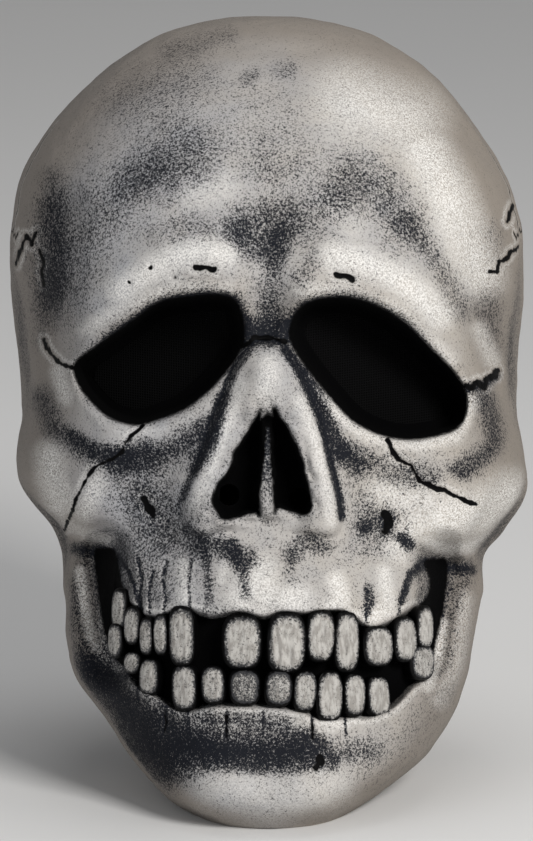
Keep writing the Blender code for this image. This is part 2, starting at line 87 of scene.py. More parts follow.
# Distances from an outline or path count as this much where they are longer
FAR = 0.03
CRACK_FAR = 0.004
HOLE_FAR = 0.02

# Where the surface turns down into an opening: from how far outside its outline, to how far inside
TURNS_DOWN = {
    "socket": (0.0006, -0.0032), "septum": (0.0005, -0.0016), "nose": (0.0002, -0.0020),
    "cheek": (0.0010, -0.0035), "mouth": (0.0004, -0.0015), "cup": (0.0020, -0.0015),
}

# Where one front piece ends and the next begins, in rows of SECTIONS, and how finely each is
# divided
BROW_ROW, NOSE_ROW = 7.5, 12.7
CRANIUM_STEPS, ORBIT_STEPS, JAW_STEPS = 164, 160, 204
FACE_COLUMNS, NAPE_COLUMNS = 480, 110
LINING_STEPS = 96
# How much of the face's turns is spread by arcsine, and the row from which the rim is looked for
ARCSINE_SHARE = 0.15
RIM_SEARCH_ROW = 17

# Where the camera stands: this far ahead of the head's widest place, and this high above the chin.
# The face's outline lies this far ahead too, and the picture there is this high
CAMERA_DISTANCE = 5.0
CAMERA_HEIGHT = 0.150
CAMERA_ACROSS = -0.00056
FACE_PLANE = 0.095
PICTURE_HEIGHT = 0.3118
SENSOR_HEIGHT = 24.0

# Lights: place, side, watts and colour. All look at LIT
LIT = (0.0, -0.05, 0.15)
LIGHTS = (
    ("key", (1.05, -1.75, 1.25), 0.7, 45.0, (1.0, 0.98, 0.95)),
    ("fill", (-1.3, -1.5, 0.6), 1.2, 4.5, (0.93, 0.96, 1.0)),
    ("top", (0.1, 0.4, 1.6), 1.0, 6.0, (1.0, 1.0, 1.0)),
)
WORLD_STRENGTH = 0.22
FLOOR_REACH = 8.0
FLOOR_DROP = 0.0002
THREAD_SPACING = 0.0009

# How stained each tooth is, in the order of TEETH
STAINED = (0.45, 0.40, 0.50, 0.45, 0.28, 0.20, 0.08, 0.05, 0.02, 0.15, 0.12, 0.12,
           0.50, 0.45, 0.30, 0.25, 0.40, 0.90, 0.75, 0.32, 0.05, 0.12, 0.08, 0.40)
# Which teeth are hardly fluted. Teeth higher than the next value have their wide dark edge above
SMOOTH_TEETH = (0, 1, 2, 3, 4, 5, 12, 13, 14, 15, 16, 17)
LOWEST_UPPER_TOOTH = 0.215
# Half of a tooth is this share of its size in TEETH, and its flutes are this deep, smooth or not
TOOTH_HALF = (0.545, 0.525)
FLUTES = (0.00030, 0.00065)
# Where the mouth ends on the viewer's right
MOUTH_CORNER = 0.635
# How much of the wall of the mouth is painted as gum
GUM_SHOWN = 0.0010

# Level sections, from the crown down to a point under the rim.
# up, left and right half widths (of HALF_WIDTH), then from the widest place forwards
# (of FACE_DEPTH) and backwards (of BACK_DEPTH), squareness, and how far ahead of the middle the
# widest place lies (of FACE_DEPTH)
SECTIONS = np.array([
    (1.010, 0.000, 0.000, 0.00, 0.00, 2.1, 0.00),
    (0.995, 0.337, 0.326, 0.32, 0.34, 2.1, 0.00),
    (0.955, 0.581, 0.571, 0.54, 0.58, 2.1, 0.00),
    (0.904, 0.765, 0.734, 0.71, 0.76, 2.2, 0.00),
    (0.854, 0.887, 0.847, 0.83, 0.88, 2.2, 0.00),
    (0.803, 0.969, 0.938, 0.91, 0.95, 2.3, 0.00),
    (0.753, 1.000, 0.984, 0.96, 0.99, 2.3, 0.00),
    (0.702, 1.015, 1.000, 0.99, 1.00, 2.3, 0.00),
    (0.652, 1.010, 1.010, 0.98, 1.00, 2.3, 0.00),
    (0.602, 1.000, 0.994, 0.96, 0.98, 2.2, 0.00),
    (0.551, 0.974, 0.984, 0.95, 0.95, 2.2, 0.00),
    (0.501, 0.969, 0.979, 0.95, 0.91, 2.1, 0.00),
    (0.452, 0.984, 1.005, 0.96, 0.87, 2.1, 0.00),
    (0.402, 0.954, 1.020, 0.96, 0.82, 2.1, 0.00),
    (0.365, 0.873, 0.959, 0.94, 0.80, 2.1, 0.02),
    (0.328, 0.827, 0.863, 0.93, 0.77, 2.1, 0.04),
    (0.278, 0.796, 0.837, 0.91, 0.75, 2.1, 0.08),
    (0.229, 0.792, 0.807, 0.89, 0.73, 2.1, 0.12),
    (0.179, 0.751, 0.776, 0.84, 0.73, 2.1, 0.17),
    (0.130, 0.640, 0.714, 0.74, 0.78, 2.1, 0.25),
    (0.080, 0.530, 0.606, 0.61, 0.90, 2.2, 0.38),
    (0.031, 0.394, 0.409, 0.48, 1.00, 2.3, 0.50),
    (0.000, 0.240, 0.260, 0.30, 1.06, 2.3, 0.58),
    (-0.030, 0.160, 0.170, 0.17, 0.92, 2.2, 0.55),
    (-0.050, 0.000, 0.000, 0.00, 0.00, 2.1, 0.55),
])

# Strokes of modelling on the front: height (of RELIEF, below nought for a hollow),
# reach to each side (of HALF_WIDTH), then the points that the stroke runs through (across, up)
STROKES = (
    ("brow_left", 0.60, 0.12,
     ((-0.12, 0.66), (-0.24, 0.69), (-0.38, 0.69), (-0.53, 0.665), (-0.66, 0.63), (-0.79, 0.585))),
    ("brow_right", 0.60, 0.12,
     ((0.11, 0.665), (0.26, 0.69), (0.43, 0.67), (0.59, 0.64), (0.73, 0.60), (0.84, 0.555))),
    ("nasal_bone", 0.65, 0.10, ((0.0, 0.585), (0.0, 0.53))),
    ("nose_rim_left", 0.60, 0.085,
     ((-0.04, 0.56), (-0.12, 0.51), (-0.20, 0.465), (-0.26, 0.415), (-0.25, 0.372))),
    ("nose_rim_right", 0.60, 0.085,
     ((0.04, 0.56), (0.11, 0.51), (0.17, 0.465), (0.22, 0.415), (0.22, 0.375))),
    ("cheek_left", 0.90, 0.19, ((-0.72, 0.476), (-0.79, 0.439), (-0.82, 0.40))),
    ("cheek_right", 0.90, 0.19, ((0.74, 0.464), (0.80, 0.426), (0.81, 0.389))),
    ("lid_left", 0.25, 0.09, ((-0.57, 0.476), (-0.40, 0.476), (-0.24, 0.503), (-0.13, 0.544))),
    ("lid_right", 0.25, 0.09, ((0.12, 0.55), (0.26, 0.494), (0.45, 0.457), (0.66, 0.464))),
    ("upper_gum", 0.30, 0.11, ((-0.56, 0.309), (-0.18, 0.293), (0.20, 0.293), (0.57, 0.303))),
    ("lower_gum", 0.25, 0.09,
     ((-0.45, 0.14), (-0.26, 0.124), (0.0, 0.117), (0.24, 0.11), (0.51, 0.14))),
    ("chin", 0.60, 0.21, ((-0.20, 0.05), (0.0, 0.04), (0.16, 0.05))),
    ("jaw_left", 0.25, 0.13, ((-0.57, 0.155), (-0.40, 0.10), (-0.20, 0.05))),
    ("jaw_right", 0.25, 0.13, ((0.60, 0.148), (0.41, 0.093), (0.20, 0.05))),
    ("forehead_left", 0.25, 0.32, ((-0.38, 0.84),)),
    ("forehead_right", 0.25, 0.32, ((0.48, 0.83),)),
    ("nasion", -0.55, 0.13, ((0.0, 0.627), (0.0, 0.60))),
    ("glabella", -0.25, 0.12, ((0.0, 0.75), (0.0, 0.66))),
    ("fossa_left", -0.50, 0.17, ((-0.45, 0.402), (-0.40, 0.352))),
    ("fossa_right", -0.50, 0.17, ((0.45, 0.389), (0.41, 0.34))),
    ("temple_left", -0.60, 0.12, ((-0.84, 0.754), (-0.87, 0.686), (-0.88, 0.60))),
    ("temple_right", -0.60, 0.11, ((0.84, 0.723), (0.87, 0.649), (0.90, 0.587))),
    ("buccal_left", -1.90, 0.09, ((-0.65, 0.335), (-0.65, 0.266), (-0.61, 0.20))),
    ("buccal_right", -1.90, 0.09, ((0.67, 0.325), (0.66, 0.272), (0.62, 0.21))),
    ("under_cheek_left", -0.60, 0.10, ((-0.78, 0.345), (-0.70, 0.33))),
    ("under_cheek_right", -0.60, 0.10, ((0.83, 0.325), (0.75, 0.32))),
    ("chin_groove", -0.30, 0.10, ((-0.32, 0.10), (0.0, 0.093), (0.28, 0.095))),
)

# Hollows on both sides of the head: depth (of RELIEF), reach (of HALF_WIDTH), then the points
# (distance behind the widest place of the head, of FACE_DEPTH, and up)
SIDE_HOLLOWS = (
    ("temple", 0.45, 0.26, ((-0.42, 0.62), (-0.18, 0.60))),
    ("under_arch", 0.55, 0.15, ((-0.42, 0.37), (-0.12, 0.36))),
    ("behind_jaw", 0.65, 0.18, ((0.22, 0.40), (0.26, 0.25), (0.10, 0.16))),
    ("ear", 0.35, 0.10, ((0.10, 0.47),)),
)

# Outlines of the openings, anticlockwise or clockwise (across, up)
SOCKET_LEFT = (
    (-0.75, 0.570), (-0.65, 0.595), (-0.53, 0.622), (-0.42, 0.646), (-0.30, 0.654), (-0.20, 0.656),
    (-0.13, 0.650), (-0.10, 0.632), (-0.09, 0.609), (-0.10, 0.590), (-0.15, 0.564), (-0.23, 0.536),
    (-0.32, 0.514), (-0.42, 0.501), (-0.51, 0.494), (-0.61, 0.503), (-0.68, 0.522), (-0.73, 0.543),
)
SOCKET_RIGHT = (
    (0.75, 0.546), (0.70, 0.567), (0.62, 0.592), (0.54, 0.617), (0.45, 0.637), (0.36, 0.649),
    (0.27, 0.653), (0.18, 0.649), (0.12, 0.639), (0.09, 0.624), (0.08, 0.604), (0.11, 0.582),
    (0.17, 0.555), (0.25, 0.524), (0.33, 0.498), (0.44, 0.481), (0.54, 0.476), (0.64, 0.480),
    (0.72, 0.488), (0.76, 0.503), (0.77, 0.525),
)
NOSE_LEFT = (
    (-0.025, 0.508), (-0.05, 0.504), (-0.08, 0.488), (-0.11, 0.471), (-0.14, 0.454), (-0.16, 0.435),
    (-0.20, 0.420), (-0.22, 0.403), (-0.20, 0.388), (-0.17, 0.379), (-0.11, 0.381), (-0.05, 0.387),
    (-0.025, 0.391),
)
NOSE_RIGHT = (
    (0.015, 0.508), (0.05, 0.504), (0.08, 0.494), (0.10, 0.480), (0.12, 0.460), (0.14, 0.441),
    (0.16, 0.424), (0.17, 0.407), (0.17, 0.392), (0.14, 0.383), (0.08, 0.388), (0.04, 0.394),
    (0.015, 0.392),
)
NOSE_MIDDLE = (
    (0.0, 0.509), (0.06, 0.49), (0.08, 0.45), (0.09, 0.40), (-0.01, 0.39), (-0.12, 0.395),
    (-0.11, 0.45), (-0.07, 0.485),
)
NOSTRILS = ((-0.15, 0.408), (0.12, 0.404))

# The mouth between the gums: across, upper gum line, lower gum line
MOUTH = (
    (-0.63, 0.268, 0.235), (-0.60, 0.290, 0.210), (-0.53, 0.270, 0.178), (-0.43, 0.258, 0.157),
    (-0.33, 0.270, 0.140), (-0.22, 0.259, 0.146), (-0.11, 0.265, 0.147), (-0.02, 0.258, 0.146),
    (0.05, 0.265, 0.144), (0.14, 0.263, 0.139), (0.20, 0.266, 0.130), (0.30, 0.265, 0.132),
    (0.39, 0.245, 0.133), (0.48, 0.254, 0.144), (0.56, 0.269, 0.169), (0.64, 0.265, 0.186),
    (0.66, 0.255, 0.210),
)

# Teeth: middle (across, up), width (of HALF_WIDTH) and height (of FACE_HEIGHT)
TEETH = (
    ("upper", -0.57, 0.266, 0.050, 0.048), ("upper", -0.52, 0.246, 0.056, 0.044),
    ("upper", -0.465, 0.233, 0.048, 0.043), ("upper", -0.41, 0.235, 0.050, 0.047),
    ("upper", -0.33, 0.234, 0.092, 0.069), ("upper", -0.10, 0.227, 0.138, 0.063),
    ("upper", 0.07, 0.226, 0.135, 0.069), ("upper", 0.20, 0.234, 0.100, 0.059),
    ("upper", 0.30, 0.227, 0.088, 0.069), ("upper", 0.42, 0.221, 0.105, 0.046),
    ("upper", 0.525, 0.229, 0.080, 0.052), ("upper", 0.60, 0.244, 0.060, 0.049),
    ("lower", -0.585, 0.227, 0.050, 0.040), ("lower", -0.52, 0.200, 0.055, 0.025),
    ("lower", -0.455, 0.183, 0.067, 0.042), ("lower", -0.32, 0.170, 0.088, 0.053),
    ("lower", -0.21, 0.174, 0.085, 0.043), ("lower", -0.09, 0.171, 0.108, 0.041),
    ("lower", 0.04, 0.170, 0.098, 0.041), ("lower", 0.14, 0.166, 0.083, 0.047),
    ("lower", 0.235, 0.160, 0.092, 0.058), ("lower", 0.33, 0.161, 0.078, 0.049),
    ("lower", 0.42, 0.159, 0.082, 0.047), ("lower", 0.59, 0.200, 0.085, 0.040),
)

# The points of the strokes from here on are in thousandths: across, of HALF_WIDTH, and up, of
# FACE_HEIGHT.
# Dark wash sponged into the bone, which in places paints shade: the under_cheek strokes paint the
# shade under the cheekbones, and the fold strokes the shade in the folds over the roots of the
# teeth. Columns: amount, reach (of HALF_WIDTH), then the points
WASHES = (
    ("forehead_upper_left", 0.27, 0.100, ((-576, 894), (-453, 911), (-281, 927))),
    ("forehead_spot", 0.40, 0.119,
     ((-300, 837), (-453, 812), (-576, 779), (-665, 742), (-742, 689), (-792, 649))),
    ("forehead_spot_core", 0.28, 0.069, ((-530, 795), (-396, 812))),
    ("forehead_under_spot", 0.22, 0.069, ((-415, 787), (-281, 792))),
    ("forehead_field", 0.15, 0.192, ((-453, 871), (-204, 871), (85, 834), (277, 810))),
    ("forehead_centre", 0.10, 0.085, ((-38, 822), (92, 810))),
    ("smudge_left", 0.35, 0.035, ((-85, 922), (-61, 927))),
    ("smudge_right", 0.35, 0.035, ((46, 932), (85, 934))),
    ("crown_smudge", 0.30, 0.046, ((-384, 958), (-154, 975))),
    ("crown_left_haze", 0.15, 0.085, ((-761, 785), (-703, 834))),
    ("temple_left", 0.42, 0.058, ((-830, 797), (-826, 754), (-815, 705), (-830, 661))),
    ("glabella_left_arm", 0.42, 0.050, ((-123, 733), (-69, 708))),
    ("glabella_right_arm_low", 0.35, 0.042, ((169, 696), (123, 676))),
    ("glabella_right_arm", 0.35, 0.100, ((238, 766), (142, 742))),
    ("glabella", 0.50, 0.085, ((-69, 745), (54, 753), (15, 721))),
    ("glabella_low", 0.38, 0.054, ((15, 717), (8, 661), (-4, 622))),
    ("glabella_core", 0.40, 0.046, ((38, 729), (31, 696))),
    ("nasion", 0.97, 0.058, ((-77, 609), (0, 606), (85, 612))),
    ("between_sockets", 0.15, 0.046, ((0, 643), (0, 614))),
    ("band_right", 0.34, 0.096, ((323, 795), (430, 778), (523, 745))),
    ("band_right_low", 0.38, 0.050, ((523, 745), (615, 713), (699, 670), (746, 634))),
    ("temple_right", 0.12, 0.054, ((845, 649), (869, 587))),
    ("above_brow_left", 0.25, 0.061, ((-453, 729), (-300, 738), (-127, 733))),
    ("under_socket_left", 0.58, 0.054,
     ((-869, 528), (-822, 491), (-715, 466), (-600, 450), (-484, 461))),
    ("under_socket_left_core", 0.60, 0.031, ((-753, 481), (-676, 464), (-550, 455))),
    ("maxilla_left", 0.65, 0.061, ((-561, 449), (-453, 454), (-346, 464), (-254, 486))),
    ("maxilla_left_wide", 0.34, 0.154, ((-511, 414), (-396, 377), (-453, 328))),
    ("nose_side_left", 0.72, 0.035, ((-169, 528), (-200, 491), (-231, 464), (-277, 441))),
    ("nose_side_right", 0.80, 0.035, ((135, 560), (192, 525), (242, 486), (284, 461))),
    ("nose_line_right", 0.96, 0.015,
     ((61, 586), (115, 561), (161, 534), (200, 503), (219, 480), (234, 456), (254, 431), (273, 405),
      (281, 379))),
    ("nose_line_left", 0.65, 0.012,
     ((-69, 585), (-123, 560), (-169, 525), (-219, 481), (-277, 439), (-327, 402))),
    ("maxilla_right_start", 0.50, 0.042, ((296, 456), (346, 439))),
    ("maxilla_right", 0.42, 0.050, ((296, 461), (384, 451), (477, 434), (623, 429))),
    ("maxilla_right_wide", 0.15, 0.092, ((323, 439), (361, 389))),
    ("cheek_right_patch", 0.45, 0.035, ((719, 441), (746, 434))),
    ("spot_right_inner", 0.80, 0.027, ((365, 370), (377, 367))),
    ("spot_right_outer", 0.95, 0.027, ((515, 355), (542, 346))),
    ("spot_right_middle", 0.60, 0.042, ((453, 377), (453, 365))),
    ("cheek_right_side", 0.62, 0.050, ((830, 528), (869, 486), (861, 466), (776, 444))),
    ("below_nose_left", 0.65, 0.050, ((-261, 346), (-192, 346), (-85, 328))),
    ("below_nose_right", 0.55, 0.042, ((92, 337), (154, 355), (208, 346))),
    ("muzzle_left", 0.55, 0.019, ((-238, 337), (-227, 278))),
    ("muzzle_left_b", 0.60, 0.027, ((-138, 346), (-96, 309), (-85, 283))),
    ("below_nose_left_b", 0.55, 0.023, ((-307, 367), (-254, 355))),
    ("gum_edge_left", 0.35, 0.019, ((-242, 263), (-77, 263))),
    ("muzzle_middle", 0.25, 0.031, ((85, 328), (85, 303))),
    ("muzzle_right", 0.65, 0.019, ((384, 293), (396, 276), (380, 263))),
    # Painted shade in the folds over the roots of the teeth
    ("folds_left", 0.25, 0.069, ((-569, 328), (-511, 290), (-415, 290))),
    ("fold_right_wide", 0.85, 0.017, ((600, 325), (546, 309), (515, 278))),
    # Darker beside the crack on the right brow
    ("beside_brow_crack_right", 0.80, 0.023, ((769, 540), (830, 545), (876, 555))),
    ("chin_band", 0.97, 0.065, ((-300, 99), (-165, 93), (-12, 89), (169, 96))),
    ("chin_band_right", 0.42, 0.058, ((238, 90), (384, 95))),
    ("chin_band_low", 0.55, 0.035, ((-231, 77), (-12, 72), (246, 77))),
    ("gum_shade", 0.50, 0.031, ((-300, 132), (-108, 133), (65, 127))),
    ("chin_band_left", 0.60, 0.115, ((-453, 117), (-300, 87))),
    ("jaw_left", 0.93, 0.092, ((-665, 189), (-569, 155), (-473, 111), (-384, 83))),
    ("jaw_left_low", 0.30, 0.054, ((-511, 87), (-396, 49))),
    ("jaw_side_left", 0.45, 0.058, ((-776, 290), (-761, 229), (-707, 173))),
    ("lower_roots_left", 0.55, 0.054, ((-396, 140), (-319, 111))),
    ("jaw_right", 0.22, 0.077, ((661, 155), (553, 108), (400, 62))),
    ("jaw_side_right", 0.15, 0.054, ((807, 290), (776, 229), (707, 167))),
    ("lower_gum", 0.45, 0.035, ((-242, 122), (123, 115))),
    # Painted shade in the folds over the roots of the teeth
    ("fold_left_a", 0.74, 0.007, ((-500, 330), (-484, 303), (-492, 283), (-484, 265))),
    ("fold_left_b", 0.74, 0.007, ((-442, 313), (-457, 290), (-453, 263))),
    ("fold_left_c", 0.74, 0.007, ((-388, 325), (-404, 303), (-392, 281), (-400, 261))),
    ("root_line_left_a", 0.74, 0.007, ((-503, 174), (-500, 146))),
    ("root_line_left_b", 0.74, 0.007, ((-392, 147), (-388, 115))),
    ("fold_left_edge", 0.90, 0.009,
     ((-573, 333), (-538, 315), (-515, 297), (-500, 278), (-488, 263))),
    ("fold_left_d", 0.74, 0.007, ((-296, 328), (-304, 297), (-300, 269))),
    ("fold_right_a", 0.74, 0.007, ((542, 315), (519, 290), (500, 261))),
    ("fold_right_c", 0.74, 0.007, ((380, 290), (377, 251))),
    ("gum_gap_a", 0.90, 0.006, ((-307, 140), (-307, 108))),
    ("gum_gap_b", 0.90, 0.006, ((-158, 140), (-161, 108))),
    ("gum_gap_c", 0.90, 0.006, ((-19, 140), (-19, 111))),
    ("gum_gap_d", 0.90, 0.006, ((169, 135), (169, 110))),
    ("gum_gap_e", 0.90, 0.006, ((296, 132), (300, 111))),
    # Painted shade under the cheekbones
    ("under_cheek_left", 0.70, 0.027, ((-761, 342), (-646, 337))),
    ("under_cheek_right", 0.75, 0.023, ((615, 323), (699, 318), (796, 316), (865, 325))),
)

# Light on the high places, partly dry-brush paint and partly painted highlights where the light
# falls: amount, reach (of HALF_WIDTH), then the points
HIGHLIGHTS = (
    ("forehead_right", 0.75, 0.138, ((546, 871), (315, 896))),
    ("forehead_right_low", 1.00, 0.092, ((603, 834), (692, 779), (757, 729), (815, 680))),
    ("forehead_above_band", 0.30, 0.054, ((238, 773), (323, 738))),
    ("forehead_left_middle", 0.50, 0.061, ((-281, 778), (-177, 792))),
    ("brow_left", 0.90, 0.054, ((-569, 661), (-396, 696), (-261, 711), (-165, 705))),
    ("brow_left_edge", 0.60, 0.031, ((-703, 612), (-530, 645), (-338, 665), (-165, 661))),
    ("brow_right", 0.95, 0.058, ((257, 703), (354, 696), (507, 676), (661, 630))),
    ("brow_right_edge", 0.60, 0.031, ((123, 661), (277, 661), (507, 637), (699, 575))),
    ("temple_edge_right", 0.70, 0.035, ((815, 612), (861, 575))),
    ("lid_left", 0.22, 0.023,
     ((-742, 544), (-703, 507), (-588, 486), (-415, 486), (-281, 511), (-165, 550))),
    ("lid_right", 0.85, 0.035,
     ((161, 544), (257, 511), (392, 482), (584, 472), (719, 482), (784, 525))),
    ("cheekbone_edge_right", 0.95, 0.031, ((615, 351), (688, 341), (776, 345), (845, 356))),
    ("cheekbone_edge_left", 0.60, 0.027, ((-799, 375), (-703, 361), (-615, 352))),
    ("nasal_bone", 0.80, 0.050, ((0, 572), (-8, 532))),
    ("nose_rim_left", 0.70, 0.031, ((-108, 544), (-165, 494), (-231, 439), (-281, 396))),
    ("nose_rim_right", 0.70, 0.027, ((123, 525), (192, 464), (231, 414), (246, 377))),
    ("cheek_left", 1.00, 0.058, ((-838, 457), (-830, 426), (-799, 396))),
    ("cheek_left_inner", 0.80, 0.046, ((-665, 420), (-707, 387))),
    ("cheek_right", 1.00, 0.092, ((661, 377), (815, 383), (938, 408))),
    ("gum_between_right", 0.95, 0.035, ((296, 263), (361, 251), (450, 266))),
    ("ramus_corner_right", 0.95, 0.031, ((665, 247), (649, 210), (615, 174))),
    ("maxilla_right", 0.80, 0.069, ((450, 412), (603, 396), (507, 346))),
    ("lid_outer_left", 0.80, 0.031, ((-807, 560), (-776, 528))),
    ("muzzle", 0.85, 0.061, ((-108, 278), (-23, 315), (0, 278), (123, 278))),
    ("muzzle_left", 0.80, 0.031, ((-327, 281), (-315, 321))),
    ("muzzle_ridge", 0.60, 0.019, ((-177, 303), (-161, 325))),
    ("muzzle_right", 0.95, 0.038, ((261, 303), (284, 278), (238, 268))),
    ("gum_right", 0.80, 0.031, ((446, 313), (461, 271))),
    ("gum_low_right", 0.90, 0.023, ((208, 127), (296, 125), (346, 132))),
    ("chin", 0.38, 0.092, ((-204, 43), (8, 31), (238, 43))),
    ("lower_gum", 0.50, 0.027, ((-261, 127), (-31, 127), (238, 120))),
    ("jaw_edge_left", 0.90, 0.023,
     ((-722, 313), (-707, 272), (-680, 229), (-634, 204), (-576, 194))),
    ("jaw_edge_right", 0.50, 0.038, ((757, 278), (730, 204), (661, 155))),
)

# The raised bone round the nose opening, and the hollows between the cheekbones and the jaw, in
# shares (across, up)
NOSE_BONE = (
    (-0.010, 0.597), (-0.062, 0.589), (-0.121, 0.565), (-0.158, 0.539), (-0.202, 0.506),
    (-0.232, 0.477), (-0.269, 0.444), (-0.306, 0.420), (-0.328, 0.396), (-0.324, 0.377),
    (-0.298, 0.363), (-0.254, 0.358), (-0.211, 0.363), (-0.127, 0.366), (-0.012, 0.362),
    (0.092, 0.363), (0.196, 0.360), (0.241, 0.358), (0.271, 0.365), (0.278, 0.387), (0.263, 0.410),
    (0.244, 0.434), (0.226, 0.458), (0.209, 0.482), (0.194, 0.506), (0.153, 0.539), (0.108, 0.567),
    (0.056, 0.589),
)
CHEEK_HOLLOW_LEFT = (
    (-0.676, 0.336), (-0.642, 0.341), (-0.596, 0.339), (-0.576, 0.321), (-0.565, 0.299),
    (-0.538, 0.278), (-0.492, 0.263), (-0.453, 0.229), (-0.511, 0.198), (-0.569, 0.197),
    (-0.603, 0.210), (-0.630, 0.231), (-0.649, 0.260), (-0.665, 0.297),
)
CHEEK_HOLLOW_RIGHT = (
    (0.603, 0.324), (0.649, 0.328), (0.696, 0.324), (0.692, 0.290), (0.673, 0.253), (0.649, 0.222),
    (0.634, 0.198), (0.592, 0.179), (0.526, 0.192), (0.526, 0.229), (0.565, 0.263), (0.615, 0.283),
    (0.623, 0.303),
)

OUTLINES = {
    "socket_left": SOCKET_LEFT, "socket_right": SOCKET_RIGHT, "nose_left": NOSE_LEFT,
    "nose_right": NOSE_RIGHT, "nose_middle": NOSE_MIDDLE, "cheek_left": CHEEK_HOLLOW_LEFT,
    "cheek_right": CHEEK_HOLLOW_RIGHT,
}

# The thin bone that shows in the middle of the nose opening
SEPTUM = ((0, 490), (-4, 450), (-6, 380))

# Cracks and pits of the front: half width in metres, then the points
CRACKS = (
    ("cheek_left", 0.00045,
     ((-480, 494), (-500, 487), (-530, 480), (-550, 471), (-560, 461), (-600, 452), (-650, 445),
      (-670, 440), (-690, 433), (-720, 414), (-740, 402), (-750, 389), (-770, 375), (-780, 365))),
    ("cheek_right", 0.00060,
     ((460, 476), (470, 468), (480, 461), (500, 452), (530, 447), (550, 445), (560, 439),
      (580, 426), (600, 422), (620, 420), (650, 415), (680, 414), (710, 408), (740, 404),
      (770, 399), (800, 396))),
    ("brow_left", 0.00055,
     ((-860, 600), (-850, 590), (-830, 581), (-810, 574), (-790, 569), (-750, 565))),
    ("brow_right", 0.00095,
     ((760, 543), (780, 540), (800, 548), (820, 543), (830, 541), (840, 549), (850, 553),
      (870, 555), (880, 562))),
    ("nasion", 0.00080,
     ((-100, 592), (-70, 597), (-50, 602), (-20, 601), (0, 603), (30, 600), (60, 598))),
    ("temple_left", 0.00045,
     ((-970, 692), (-960, 703), (-950, 711), (-940, 719), (-930, 729), (-910, 721), (-910, 717),
      (-900, 726), (-890, 733))),
    ("temple_branch", 0.00035, ((-880, 711), (-860, 696), (-870, 684), (-860, 667))),
    ("temple_right", 0.00050,
     ((850, 684), (880, 684), (890, 696), (920, 701), (930, 708), (950, 711), (970, 717))),
    ("temple_dash", 0.00045, ((940, 766), (930, 756), (920, 745))),
    ("lower_gum_left", 0.00035, ((-400, 138), (-390, 127), (-400, 114))),
    ("lower_gum_middle", 0.00035, ((-160, 135), (-160, 124), (-160, 110))),
    ("lower_gum_right", 0.00035, ((170, 127), (170, 117), (170, 108))),
    ("slit_left", 0.00095, ((-280, 689), (-240, 690), (-210, 687))),
    ("slit_right", 0.00095, ((260, 681), (290, 679), (320, 676))),
    ("cheek_hole_left", 0.00115, ((-473, 403), (-457, 392), (-446, 382))),
    ("cheek_hole_right", 0.00120, ((450, 386), (462, 374), (456, 362))),
    ("chin_hole", 0.00120, ((205, 84), (195, 78), (185, 71))),
    ("pore_a", 0.00050, ((-360, 676), (-355, 677))),
    ("pore_b", 0.00050, ((-450, 690), (-452, 689))),
    ("pore_c", 0.00045, ((-530, 670), (-532, 671))),
)

# Grooves along the edges of the bones, and ridges where the depth is below nought: depth and reach
# in metres, then the points
GROOVES = (
    ("nose_right", 0.0012, 0.0030,
     ((120, 585), (150, 544), (200, 509), (240, 476), (260, 441), (290, 402), (300, 371))),
    ("nose_left", 0.0010, 0.0030,
     ((-120, 571), (-170, 532), (-220, 501), (-270, 464), (-310, 426), (-330, 385))),
    ("jaw_edge_left", 0.0016, 0.0028,
     ((-670, 319), (-670, 263), (-650, 229), (-590, 200), (-560, 190))),
    ("jaw_edge_right", 0.0016, 0.0028, ((710, 321), (700, 263), (660, 221), (630, 194))),
    ("cheek_edge_left", 0.0030, 0.0034, ((-838, 355), (-761, 346), (-684, 341), (-600, 341))),
    ("cheek_edge_right", 0.0032, 0.0034, ((869, 334), (792, 323), (692, 319), (615, 326))),
    ("cheekbone_left", -0.0022, 0.0042, ((-845, 375), (-761, 363), (-665, 356))),
    ("cheekbone_right", -0.0030, 0.0042, ((853, 351), (776, 342), (688, 339), (615, 346))),
    ("root_left_a", 0.0008, 0.0010, ((-500, 330), (-484, 303), (-492, 283), (-484, 265))),
    ("root_left_b", 0.0007, 0.0009, ((-442, 313), (-457, 290), (-453, 263))),
    ("root_left_c", 0.0008, 0.0010, ((-388, 325), (-404, 303), (-392, 281), (-400, 261))),
    ("root_left_edge", 0.0012, 0.0014, ((-573, 330), (-530, 313), (-503, 290), (-492, 263))),
    ("root_right", 0.0014, 0.0018, ((584, 320), (542, 305), (519, 278))),
    ("gum_left", 0.0006, 0.0008, ((-158, 140), (-161, 108))),
    ("gum_middle", 0.0006, 0.0008, ((169, 135), (169, 110))),
)

# Sutures on the sides of the head: half width in metres, then the points
# (distance behind the widest place of the head, in thousandths of FACE_DEPTH, and up)
SIDE_SUTURES = (
    ("temple_to_nape", 0.00040,
     ((-300, 735), (-260, 727), (-250, 734), (-220, 731), (-190, 741), (-170, 736), (-130, 739),
      (-120, 748), (-80, 744), (-40, 749), (-20, 741), (30, 746), (50, 740), (100, 741), (140, 730),
      (160, 734), (210, 719), (240, 721), (280, 705), (310, 703), (330, 690), (370, 684),
      (400, 664))),
    ("temple_upright", 0.00035,
     ((-220, 740), (-215, 756), (-235, 764), (-225, 783), (-210, 789), (-222, 806), (-200, 822),
      (-208, 834), (-190, 851), (-195, 870))),
)

# The grains of sponged paint: noise per metre, detail, roughness and weight, then how the least
# grain that is covered falls with the wash, and how soft its edge is
GRAINS = ((300.0, 2.0, 0.5, 0.45), (1150.0, 2.0, 0.6, 2.3), (2600.0, 1.0, 0.5, 1.7))
GRAIN_FALL, GRAIN_START, GRAIN_EDGE = -1.42, 0.72, 0.40

